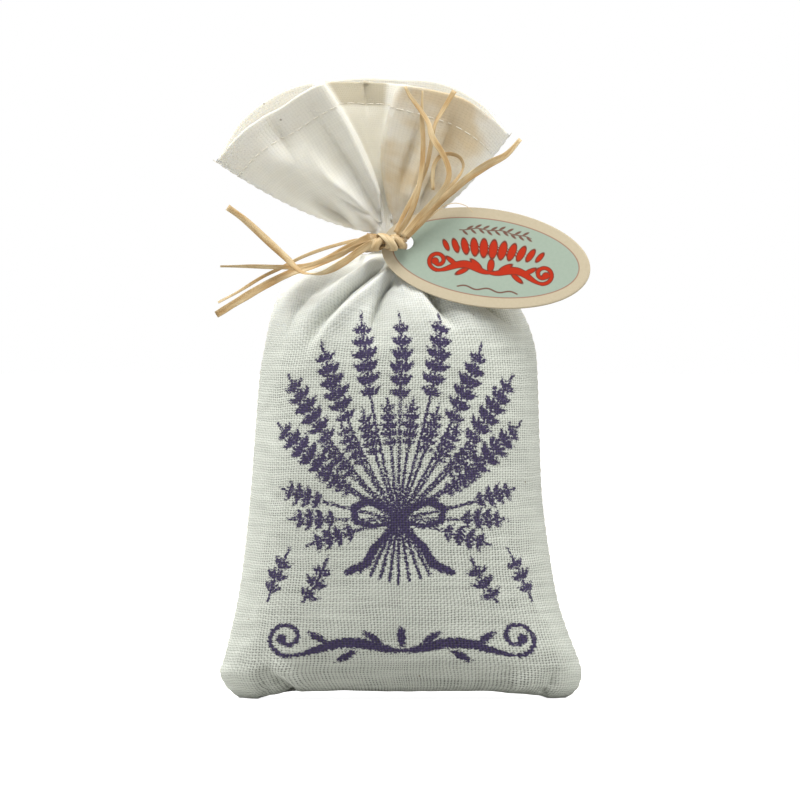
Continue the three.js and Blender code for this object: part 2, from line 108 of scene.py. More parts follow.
def addAttribute(piece, name, values):
    attribute = piece.data.attributes.new(name, "FLOAT", "POINT")
    attribute.data.foreach_set("value", np.asarray(values, np.float32).ravel())


def fixNormals(piece):
    # every closed shell of the piece faces outwards
    work = bmesh.new()
    work.from_mesh(piece.data)
    bmesh.ops.recalc_face_normals(work, faces=work.faces)
    work.to_mesh(piece.data)
    work.free()


def dress(piece, body, node):
    # the piece stands for a solid of the model, and moves with that solid's body
    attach(piece, body)
    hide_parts(node)


def smoothAlong(places, values, at):
    # a cubic through a table's values, place by place
    places, values, at = (np.asarray(a, float) for a in (places, values, at))
    row = np.clip(np.searchsorted(places, at, side="right") - 1, 0, len(places) - 2)
    before, after = np.maximum(row - 1, 0), np.minimum(row + 2, len(places) - 1)
    span = places[row + 1] - places[row]
    share = (at - places[row]) / span
    leaving = (values[row + 1] - values[before]) / (places[row + 1] - places[before]) * span
    arriving = (values[after] - values[row]) / (places[after] - places[row]) * span
    square, cube = share**2, share**3
    return (
        values[row] * (2 * cube - 3 * square + 1)
        + leaving * (cube - 2 * square + share)
        + values[row + 1] * (3 * square - 2 * cube)
        + arriving * (cube - square)
    )


def between(value, low, high):
    # 0 below low, 1 above high, and smooth between them
    share = np.clip((np.asarray(value, float) - low) / (high - low), 0, 1)
    return share * share * (3 - 2 * share)


def unit(vectors):
    return vectors / np.maximum(np.linalg.norm(vectors, axis=-1, keepdims=True), 1e-9)


def runLengths(points):
    # how far along a line each of its points lies
    return np.concatenate([[0], np.cumsum(np.linalg.norm(np.diff(points, axis=0), axis=1))])


def ringQuads(rings, size):
    # the faces between closed rings of points, ring after ring
    return [(i * size + k, (i + 1) * size + k, (i + 1) * size + (k + 1) % size,
             i * size + (k + 1) % size) for i in range(rings - 1) for k in range(size)]


def gridQuads(index):
    # the four corners of each cell of a grid of point numbers
    corners = [index[:-1, :-1], index[:-1, 1:], index[1:, 1:], index[1:, :-1]]
    return np.stack(corners, 2).reshape(-1, 4)


# Camera, lamps and floor

view = dict(distance=1.6, width=0.2, aimX=-0.0006, aimZ=0.0745, elevation=1.0, sensor=36)
light = dict(world=0.26, top=15.8, topSize=0.6, left=6.8, right=6.2, back=5.0,
             sideSize=0.5, floor=0.96)

camera = bpy.data.objects.new("camera", bpy.data.cameras.new("camera"))
scene.collection.objects.link(camera)
scene.camera = camera
rise = math.radians(view["elevation"])
camera.data.sensor_width = view["sensor"]
camera.data.lens = view["sensor"] * view["distance"] / view["width"]
camera.location = (
    view["aimX"],
    -view["distance"] * math.cos(rise),
    view["aimZ"] + view["distance"] * math.sin(rise),
)
camera.rotation_euler = (math.pi / 2 - rise, 0, 0)


def addLamp(name, place, aim, power, size):
    lamp = bpy.data.objects.new(name, bpy.data.lights.new(name, "AREA"))
    lamp.data.energy = power
    lamp.data.size = size
    lamp.location = place
    lamp.rotation_euler = (Vector(aim) - Vector(place)).to_track_quat("-Z", "Y").to_euler()
    scene.collection.objects.link(lamp)


# a soft box over the upper left, one at each side for the rounded flanks, and one behind
lampAim = (0, 0, 0.08)
for name, place, power, size in (
        ("topLamp", (-0.1, -0.42, 1.15), light["top"], light["topSize"]),
        ("leftLamp", (-1.0, 0.05, 0.3), light["left"], light["sideSize"]),
        ("rightLamp", (0.95, -0.3, 0.5), light["right"], light["sideSize"]),
        ("backLamp", (-0.35, 0.95, 0.55), light["back"], light["sideSize"])):
    addLamp(name, place, lampAim, power, size)

# a white backdrop to the camera, in reflections and through thin cloth, and a dim one otherwise
world = bpy.data.worlds.new("studio")
scene.world = world
world.use_nodes = True
world.node_tree.nodes.clear()
inWorld = partial(addNode, world.node_tree)
rays = inWorld("LightPath").outputs
seen = inWorld("Math", [rays["Is Camera Ray"], rays["Is Glossy Ray"]], operation="MAXIMUM")
seenOrThrough = inWorld("Math", [seen, rays["Is Transmission Ray"]], operation="MAXIMUM")
strength = inWorld("MapRange", {"Value": seenOrThrough, "To Min": light["world"], "To Max": 1.0})
backdrop = inWorld("Background", {"Color": (1, 1, 1, 1), "Strength": strength})
inWorld("OutputWorld", {"Surface": backdrop})

# matt white paper that glows for the camera alone, so that it is as white as the backdrop
floorMaterial, inFloor, floorShader = newMaterial("whitePaperSweep")
floorGlow = inFloor("Math", [inFloor("LightPath").outputs["Is Camera Ray"], light["floor"]],
                    operation="MULTIPLY")
feed(floorShader, {"Base Color": colour(0xB8B8B6), "Roughness": 0.9,
     "Emission Color": (1, 1, 1, 1), "Emission Strength": floorGlow})
floorReach = 6
floor = meshObject("floor", [(-floorReach, -floorReach, 0), (floorReach, -floorReach, 0),
                   (floorReach, floorReach, 0), (-floorReach, floorReach, 0)], [(0, 1, 2, 3)],
                   material=floorMaterial, smooth=False)
print("camera, lamps and floor made")


# Raffia: split and dried palm leaf, in flat strands with fine ribs along them

def makeRaffia():
    # straw with a dull gloss: ribs catch the light in lines, and older patches are browner
    material, add, shader = newMaterial("driedRaffia")
    uv = add("UVMap", uv_map="cloth")
    # the ribs are about 0.15 mm apart across the strand and run for centimetres along it
    stretch = add("Mapping", {"Vector": uv, "Scale": (9, 0.35, 1)})
    ribs = add("TexNoise", {"Vector": stretch, "Scale": 1.0, "Detail": 4.0, "Roughness": 0.6})
    patches = add("Mapping", {"Vector": uv, "Scale": (0.6, 0.12, 1)})
    tone = add("TexNoise", {"Vector": patches, "Scale": 1.0, "Detail": 2.0})
    straw = add("ValToRGB", [ribs], [(0.28, 0x7F6338), (0.66, 0xD3BA89)])
    aged = add("ValToRGB", [tone], [(0.35, 0xAE8144), (0.7, 0xDECDA6)])
    mixed = add("Mix", {0: 0.5, 6: straw, 7: aged}, data_type="RGBA")
    bump = add("Bump", {"Height": ribs, "Strength": 0.5, "Distance": 0.12 * mm})
    feed(shader, {"Base Color": mixed, "Roughness": 0.5, "Sheen Weight": 0.15, "Normal": bump})
    return material


raffia = makeRaffia()


def smoothRoute(points, spacing):
    # evenly spaced points on a smooth line through the given ones
    points = np.asarray(points, float)
    places = runLengths(points)
    fine = np.linspace(0, places[-1], max(8, int(places[-1] / spacing) * 4))
    line = np.stack([smoothAlong(places, points[:, i], fine) for i in range(3)], 1)
    lengths = runLengths(line)
    even = np.linspace(0, lengths[-1], max(6, int(lengths[-1] / spacing)))
    return np.stack([np.interp(even, lengths, line[:, i]) for i in range(3)], 1), lengths[-1]


strand = dict(spacing=0.7, sides=12, thickness=0.32, curl=0.16, uneven=0.16, waves=0.18,
              taperFrom=0.72)


def tubeMesh(count, place):
    # a closed tube: place gives a point and its map coordinates from its ring and its angle
    sides = strand["sides"]
    turns = [2 * math.pi * k / sides for k in range(sides)]
    made = [place(i, math.cos(turn), math.sin(turn)) for i in range(count) for turn in turns]
    faces = ringQuads(count, sides)
    faces.append(tuple(range(sides)))
    faces.append(tuple(reversed(range((count - 1) * sides, count * sides))))
    points, uvs = zip(*made)
    return np.array(points), faces, np.array(uvs)


def strandMesh(route, width, twists, thickness=None, seed=0, tip=0.55, facing=(0, -1, 0)):
    # a flat leaf strand along a route in mm: its width lies across facing, turned by twists,
    # a table of (share of the length, degrees)
    line, length = smoothRoute(route, strand["spacing"])
    share = np.linspace(0, 1, len(line))
    along = unit(np.gradient(line, axis=0))
    across = unit(np.cross(along, np.asarray(facing, float)))
    places, degrees = zip(*twists)
    turn = np.radians(np.interp(share, places, degrees))[:, None]
    wide = across * np.cos(turn) + np.cross(across, along) * np.sin(turn)
    thin = np.cross(wide, along)
    wobble = np.array([noise.noise(Vector((seed * 7.3, s * length * strand["waves"], 0)))
                       for s in share])
    taper = 1 - tip * between(share, strand["taperFrom"], 1.0)
    halfWidth = width / 2 * (1 + strand["uneven"] * wobble) * taper
    halfThick = (thickness or strand["thickness"]) / 2

    def place(i, c, s):
        # a lens section, curled a little along its length like a dry leaf
        lift = halfThick * s + strand["curl"] * width * (c * c - 0.5) * (0.6 + 0.4 * wobble[i])
        return (line[i] + wide[i] * halfWidth[i] * c + thin[i] * lift,
                (c * width / 2 + seed * 3.1, share[i] * length))

    return *tubeMesh(len(line), place), line, length


def joined(parts):
    # several meshes as one: their points, faces and map coordinates
    points, faces, uvs, base = [], [], [], 0
    for partPoints, partFaces, partUvs in parts:
        points.append(partPoints)
        uvs.append(partUvs)
        faces += [tuple(base + v for v in face) for face in partFaces]
        base += len(partPoints)
    return np.concatenate(points), faces, np.concatenate(uvs)


# The tie's places, as in the model: the knot in front of the tag's end
tie = dict(x=-2.6, z=113.8, string=3.4, standOff=9.4, lean=19.0, tilt=8.1)
lean = math.radians(tie["lean"])
leanUp = np.array([0, math.sin(lean), math.cos(lean)])
leanOut = np.array([0, -math.cos(lean), math.sin(lean)])
pivot = np.array([tie["x"] + tie["string"], -tie["standOff"], tie["z"]])
knotMiddle = pivot + np.array([-3.6, 0, 0]) - 0.75 * leanUp + 2.45 * leanOut
leftStart = knotMiddle + np.array([-4.9, 0, 0])
rightStart = knotMiddle + np.array([2.3, 0, 2.1])

# Each end: its start, width and route, in mm from the start, and how it turns
tails = dict(
    left_tail_1=dict(start=leftStart, width=1.9, seed=1, tip=0.1,
        twists=[(0, 20), (0.2, 0), (0.36, 70), (0.44, 110), (0.55, 160), (1, 190)],
        route=[(0.3, -1.4, -0.2), (-3, -1.6, -2.2), (-7, -1.6, -5.1), (-12.5, -1.2, -7.7),
               (-17, -1.3, -7.5), (-21, -1.8, -4), (-26, -2.4, 0.6), (-31.5, -2.8, 5.6),
               (-35.6, -3, 8.6)]),
    left_tail_2=dict(start=leftStart, width=1.2, seed=2, tip=0.5,
        twists=[(0, 30), (0.5, -10), (1, 35)],
        route=[(0, -0.5, 0.1), (-4, -0.5, -1.3), (-10, -0.3, -3.9), (-17, 0.2, -6),
               (-22.5, 0.2, -6.2), (-30, 0.2, -6), (-37.5, 0, -6)]),
    left_tail_3=dict(start=leftStart, width=0.9, seed=3, tip=0.3,
        twists=[(0, -20), (0.6, 20), (1, -25)],
        route=[(0.3, 0.9, 0.8), (-4, 1.1, 0.4), (-11, 1.6, -1.4), (-17, 1.6, -3.6),
               (-22.5, 1.4, -6.4), (-27, 1.2, -8.6), (-33, 0.4, -12.3), (-38, -0.4, -15)]),
    left_tail_4=dict(start=leftStart, width=2.0, seed=4, tip=0.15,
        twists=[(0, 10), (0.4, -30), (0.55, -15), (1, 15)],
        route=[(-0.3, 0.2, 1.3), (-4, 0.3, -0.5), (-9, 1.1, -3.4), (-15, 2, -6),
               (-20, 2.3, -7.6), (-26.5, 1.4, -10.8), (-33, 0.4, -14.6), (-38.5, -0.4, -18)]),
    right_tail_1=dict(start=rightStart, width=1.5, seed=5, tip=0.5,
        twists=[(0, 10), (0.3, -35), (0.55, 10), (0.75, -30), (1, 10)],
        route=[(0.6, -1.9, -0.6), (5, -1.9, 4.5), (9, -2.3, 9), (11.5, -2.6, 12.4),
               (12, -2.7, 15.6), (10.5, -2.6, 19.6), (7.8, -2.4, 24), (6.9, -2.2, 27.4),
               (4.9, -2, 30.6), (2.4, -1.8, 34), (1.2, -1.7, 36.4)]),
    right_tail_2=dict(start=rightStart, width=1.3, seed=6, tip=0.6,
        twists=[(0, -25), (0.45, 15), (0.7, -20), (1, 20)],
        route=[(-0.6, -0.7, -0.4), (2.5, -0.9, 5), (4.4, -1.1, 10.8), (5.4, -1.3, 17),
               (5.6, -1.3, 23), (5.3, -1.2, 29), (5.5, -1.1, 35.4)]),
    right_tail_3=dict(start=rightStart, width=1.1, seed=7, tip=-0.2,
        twists=[(0, 20), (0.5, -15), (0.75, 40), (1, 5)],
        route=[(-1.3, 0, 0.3), (0.8, 0.1, 4.6), (3.6, 0, 10), (6.3, -0.2, 16),
               (7.6, -0.3, 22), (8.6, -0.4, 27), (10.8, -0.4, 31), (13.4, -0.4, 35.4)]),
    right_tail_4=dict(start=rightStart, width=1.9, seed=8, tip=0.35,
        twists=[(0, 0), (0.4, 25), (0.7, -20), (1, 30)],
        route=[(1.2, 0.7, -0.9), (5.5, 0.8, 3.4), (9.5, 0.8, 7.6), (13.4, 0.7, 11),
               (17, 0.5, 14), (21.8, 0.2, 17.2), (26.3, -0.1, 19.6), (29.8, -0.3, 23.4)]),
    right_tail_5=dict(start=rightStart, width=1.1, seed=9, tip=0.2,
        twists=[(0, -15), (0.4, 30), (0.55, 60), (0.75, 20), (1, -10)],
        route=[(0.7, -0.3, -0.9), (5.6, -0.4, 4.8), (10, -0.5, 9.9), (13.6, -0.7, 13),
               (15.6, -1, 16.4), (14.8, -1.3, 18.8), (12.2, -1.5, 19.8), (9.7, -1.6, 19),
               (8.3, -1.5, 16.8), (8, -1.4, 13), (8.1, -1.3, 10.8)]),
)

for name, tail in tails.items():
    route = [tail["start"] + np.array(step, float) for step in tail["route"]]
    points, faces, uvs, line, length = strandMesh(route, tail["width"], tail["twists"],
                                                  seed=tail["seed"], tip=tail["tip"])
    end = meshObject("raffia_" + name, points * mm, faces, uvs, raffia)
    fixNormals(end)
    dress(end, "bag", name)
    [tuple(p) for p in line * mm]
print("raffia ends made:", len(tails))


# The knot, the string through the tag's hole and the turns round the neck

def tieSpace(across, up, out):
    # a place by the string, in mm, on the leaning plane of the tag
    return pivot + np.array([across, 0, 0]) + up * leanUp + out * leanOut


band = dict(rings=34, closed=0.985, thickness=0.42, hollow=0.2, crease=0.12)


def bandMesh(middle, radii, slant, cross, width, seed, start):
    # one flat turn round the knot's own axis: slant sets its front aside, cross leans it over
    turns = start + 2 * np.pi * band["closed"] * np.arange(band["rings"]) / (band["rings"] - 1)
    route = np.array([tieSpace(middle[0] + slant * math.cos(turn) + cross * math.sin(turn),
                               middle[1] + radii[0] * math.sin(turn),
                               middle[2] + radii[1] * math.cos(turn)) for turn in turns])
    out = route - tieSpace(*middle)
    out[:, 0] = 0
    out = unit(out)
    wide = unit(np.cross(unit(np.gradient(route, axis=0)), out))

    def place(i, c, s):
        crease = band["crease"] * noise.noise(Vector((i * 0.25, c * 2.2, seed)))
        lift = band["thickness"] / 2 * s - band["hollow"] * c * c + crease
        return (route[i] + wide[i] * width / 2 * c + out[i] * lift,
                (c * width / 2 + seed * 2.7, i * 0.35))

    return tubeMesh(len(route), place)


def raffiaPiece(name, parts, body, node):
    points, faces, uvs = joined(parts)
    piece = meshObject(name, points * mm, faces, uvs, raffia)
    fixNormals(piece)
    dress(piece, body, node)


# each turn: its middle along the string, its height and depth, its lean, cross and width
knotTurns = [
    (-7.7, -1.5, 2.3, 1.5, 1.4, 0.2, 0.5, 1.5), (-6.2, -1.1, 2.6, 1.9, 1.7, -0.3, 1.2, 1.7),
    (-3.1, -0.6, 2.5, 1.8, 1.6, -0.3, 1.2, 1.7), (-4.6, -0.9, 2.9, 2.1, 2.0, 0.3, -1.7, 2.0),
    (-2.0, -0.7, 2.6, 1.7, 1.6, 0.2, -1.2, 1.6), (-1.2, -0.6, 2.0, 1.1, 1.1, 0.0, 0.4, 1.1),
]


# each strand inside the turns: how high and how far out it runs
knotStrands = [(0.6, 2.6), (-0.3, 2.9), (-1.2, 2.2), (0.2, 1.6), (-0.8, 1.5)]
# each strand through the card's hole: how far across and how high
stringStrands = [(-0.85, -0.2), (-0.5, 0.4), (-0.6, -0.9)]


def makeKnot():
    # flat turns pulled tight over each other, leaning one way and the other
    parts = []
    for index, (across, up, out, high, deep, slant, cross, width) in enumerate(knotTurns):
        parts.append(bandMesh((across, up, out), (high, deep), slant, cross, width, 20 + index,
                              math.pi + 0.3 * index))
    # strands inside the turns, from the left ends through to the card's hole
    for index, (rise, out) in enumerate(knotStrands):
        route = [tieSpace(-9.4, rise * 0.7 - 1.7, out - 0.3), tieSpace(-6.5, rise - 0.7, out - 0.2),
                 tieSpace(-3.6, rise * 0.9 - 0.5, out), tieSpace(-1.8, rise * 0.7 - 0.3, out * 0.8),
                 tieSpace(-0.9, rise * 0.7 - 0.2, 1.2), tieSpace(-0.3, rise * 0.6 - 0.2, 0.8)]
        parts.append(strandMesh(route, 1.2, [(0, 20 * index), (1, 60)], thickness=0.5,
                     seed=30 + index, tip=0.2)[:3])
    # a thin hair of raffia that springs up over the card
    hair = [np.array(p) for p in ((6.4, -12.6, 119.6), (9.6, -13.4, 122.3), (12.6, -14.0, 123.5),
                                  (15.6, -14.2, 122.9), (17.6, -14.3, 121.2))]
    parts.append(strandMesh(hair, 0.22, [(0, 0), (1, 30)], thickness=0.12, seed=44)[:3])
    raffiaPiece("raffia_knot", parts, "bag", "tie_knot")


makeKnot()


def makeString():
    # the strands through the hole, side by side
    parts = []
    for index, (across, up) in enumerate(stringStrands):
        route = [tieSpace(across * 0.8, up * 0.8, 0.85), tieSpace(across, up, 0.2),
                 tieSpace(across, up, -1.5), tieSpace(across * 0.6, up * 0.6, -3.6),
                 tieSpace(across * 0.3, up * 0.3, -5.4)]
        parts.append(strandMesh(route, 0.75, [(0, 0), (1, 50)], thickness=0.45,
                                seed=40 + index, tip=0.1, facing=(1, 0, 0))[:3])
    raffiaPiece("raffia_string", parts, "string", "tag_string")


makeString()
print("knot and string made")


# The bag's form: sections of the filled body, the neck and the open mouth, as in the model

bag = dict(neckHeight=113.8, mouthHeight=155.0, baseHalfWidth=45.2, bellyHalfWidth=36.5,
           bellyHalfDepth=20.0, bellyPower=0.87, neckHalfWidth=4.0, neckHalfDepth=4.0,
           neckLength=5.2, neckOffset=-3.9, mouthHalfWidth=36.7, mouthOffset=-9.9,
           mouthHalfDepth=11.5, seamGap=0.12, cloth=0.5, hem=1.0, hemDepth=6.6, baseArch=2.3,
           archHalfWidth=36, columns=232, bodyRows=248, skirtRows=96)
# the gathers of the neck, as ridges round each panel, and the cloth's faint wrinkles in mm
gather = dict(count=5, drift=0.25, shiver=0.15, power=0.8, frontShare=0.25)
wrinkle = dict(broad=(9, 11), fine=(3.6, 4.4), fineShare=0.45, body=0.24, mouth=0.12,
               change=(105, 118))
# where folds fade: beside the seams, in mm above and below the tie, and in rows from the base
fade = dict(seam=(0.0, 0.25), tie=0.85, aboveTie=5.0, belowTie=2.6, baseRows=18, arch=14)

# height, centre, half width, half depth, gathers, squareness and tilt, in shares
bodyShares = np.array([
    (0, 0, 0.885, 0, 0, 2, 0), (0, 0, 0.9, 0.5, 0, 2, 0), (0.009, 0.004, 0.935, 0.64, 0, 2, 0),
    (0.026, 0, 0.975, 0.73, 0, 2, 0), (0.055, -0.009, 1, 0.8, 0, 2, 0),
    (0.086, -0.007, 0.982, 0.86, 0, 2, 0),
    (0.15, -0.018, 0.932, 0.92, 0, 2.1, 0), (0.215, -0.026, 0.888, 0.955, 0, 2.2, 0),
    (0.314, -0.03, 0.847, 0.985, 0, 2.25, 0), (0.446, -0.034, 0.808, 1, 0, 2.3, 0),
    (0.578, -0.028, 0.788, 0.99, 0.004, 2.3, 0), (0.71, -0.02, 0.768, 0.92, 0.012, 2.25, 0),
    (0.776, -0.014, 0.744, 0.84, 0.03, 2.2, 0), (0.841, -0.026, 0.697, 0.715, 0.055, 2.1, 0),
    (0.896, -0.042, 0.622, 0.565, 0.08, 2, 0.004), (0.925, -0.05, 0.531, 0.465, 0.1, 2, 0.008),
    (0.949, -0.052, 0.37, 0.36, 0.12, 2, 0.012), (0.964, -0.055, 0.21, 0.285, 0.12, 2, 0.01),
])
# across, side, depth and rise of the mouth, from the left seam to the right one
frontMouthShares = np.array([
    (-1, -1, 0, 0.49), (-0.86, -0.885, -0.36, 0.61), (-0.74, -0.78, -0.52, 0.695),
    (-0.62, -0.66, -0.58, 0.765), (-0.53, -0.56, -0.66, 0.81), (-0.44, -0.46, -0.82, 0.87),
    (-0.35, -0.34, -1.0, 0.93), (-0.29, -0.268, -1.0, 0.957), (-0.24, -0.262, -0.8, 0.962),
    (-0.19, -0.3, -0.5, 0.965), (-0.14, -0.325, -0.2, 0.967), (-0.08, -0.285, 0.0, 0.97),
    (0, -0.16, 0.08, 0.975), (0.08, -0.03, 0.14, 0.975), (0.17, 0.12, 0.14, 0.97),
    (0.25, 0.25, 0.08, 0.96), (0.31, 0.31, -0.1, 0.955), (0.36, 0.28, -0.36, 0.952),
    (0.41, 0.235, -0.62, 0.95), (0.47, 0.27, -0.84, 0.945), (0.56, 0.43, -0.8, 0.925),
    (0.7, 0.67, -0.84, 0.87), (0.86, 0.86, -0.44, 0.765), (1, 1, 0, 0.65),
])
backMouthShares = np.array([
    (-1, -1, 0, 0.49), (-0.7, -0.82, 0.62, 0.75), (-0.4, -0.5, 0.93, 0.94),
    (-0.1, -0.12, 1, 1), (0.2, 0.22, 0.98, 1), (0.5, 0.55, 0.85, 0.97),
    (0.8, 0.84, 0.52, 0.83), (1, 1, 0, 0.65),
])
flareSideShare = 0.42
flareRiseShare = 0.14
# the front's valley rises straight from the tie before it opens: across, the bend's share of the
# way out and of the way up, and its push to the right in mm
frontFlare = np.array([
    (-1, 0.42, 0.14, 0), (-0.68, 0.42, 0.14, 0), (-0.46, 0.24, 0.26, 0.4), (-0.3, 0.0, 0.38, 2.0),
    (-0.1, 0.0, 0.42, 0.6), (0.1, 0.02, 0.42, -1.5), (0.28, 0.02, 0.42, -4.6),
    (0.42, 0.02, 0.4, -6.8), (0.56, 0.2, 0.28, -3.8), (0.72, 0.38, 0.16, -0.6), (1, 0.42, 0.14, 0),
])


def bodyTable():
    # the sections in mm, with the two of the neck added
    scale = [bag["neckHeight"], bag["baseHalfWidth"], bag["baseHalfWidth"], bag["bellyHalfDepth"],
             1, 1, bag["neckHeight"]]
    rows = [row * scale for row in bodyShares]
    for end in (-1, 1):
        rows.append(np.array([bag["neckHeight"] + end * bag["neckLength"] / 2, bag["neckOffset"],
                              bag["neckHalfWidth"], bag["neckHalfDepth"], 0.1, 2, 0]))
    return np.array(rows)


sections = bodyTable()
steps = np.diff(sections[:, [0, 2, 3]], axis=0) * [1, 0.25, 1]
sectionPlaces = np.concatenate([[0], np.cumsum(np.linalg.norm(steps, axis=1))])


def evenTurns(count):
    # turns from the left seam to the right one, even along the cloth at the belly
    fine = np.linspace(0, np.pi, 4000)
    wide, deep = (np.abs(part) ** bag["bellyPower"] for part in (np.cos(fine), np.sin(fine)))
    side = bag["bellyHalfWidth"] * wide * np.sign(np.cos(fine))
    out = bag["bellyHalfDepth"] * deep
    lengths = np.concatenate([[0], np.cumsum(np.hypot(np.diff(side), np.diff(out)))])
    return np.interp(np.linspace(0, lengths[-1], count), lengths, fine), lengths[-1]


def gathers(turn, facing):
    # rounded ridges with sharp creases between them
    phase = gather["drift"] * np.sin(3 * turn + facing) + gather["shiver"] * np.sin(7 * turn)
    ridges = np.abs(np.cos(gather["count"] * turn + phase)) ** gather["power"]
    return (2 * ridges - 1) * np.sin(turn)


def bodyPoints(places, turn, facing):
    values = [smoothAlong(sectionPlaces, sections[:, i], places)[:, None] for i in range(7)]
    height, centre, halfWidth, halfDepth, fold, square, tilt = values
    halfDepth = np.maximum(halfDepth, 0)
    turn = turn[None, :]
    power = 2 / square
    side = -np.sign(np.cos(turn)) * np.abs(np.cos(turn)) ** power
    out = np.maximum(np.sin(turn), 0) ** power
    radius = 1 + fold * gathers(turn, facing) * (gather["frontShare"] if facing < 0 else 1)
    return np.stack([centre + halfWidth * side * radius,
                     facing * (bag["seamGap"] / 2 + halfDepth * out * radius),
                     np.maximum(height, 0) - tilt * side + 0 * turn], 2)


def mouthPoints(turn, facing):
    table = frontMouthShares if facing < 0 else backMouthShares
    across = 2 * turn / np.pi - 1
    side, depth, lift = (smoothAlong(table[:, 0], table[:, i], across) for i in (1, 2, 3))
    return np.stack([bag["mouthOffset"] + bag["mouthHalfWidth"] * side,
                     bag["mouthHalfDepth"] * depth + facing * bag["seamGap"] / 2,
                     bag["neckHeight"] + lift * (bag["mouthHeight"] - bag["neckHeight"])], 1)


def skirtPoints(neck, mouth, shares, turn, facing):
    out, rise, push = flareSideShare, flareRiseShare, 0
    if facing < 0:
        across = 2 * turn / np.pi - 1
        out, rise, push = (smoothAlong(frontFlare[:, 0], frontFlare[:, i], across)
                           for i in (1, 2, 3))
    bend = np.stack([neck[:, 0] + out * (mouth[:, 0] - neck[:, 0]) + push,
                     neck[:, 1] + flareSideShare * (mouth[:, 1] - neck[:, 1]),
                     neck[:, 2] + rise * (mouth[:, 2] - neck[:, 2])], 1)
    t = shares[:, None, None]
    return (1 - t) ** 2 * neck + 2 * t * (1 - t) * bend + t**2 * mouth


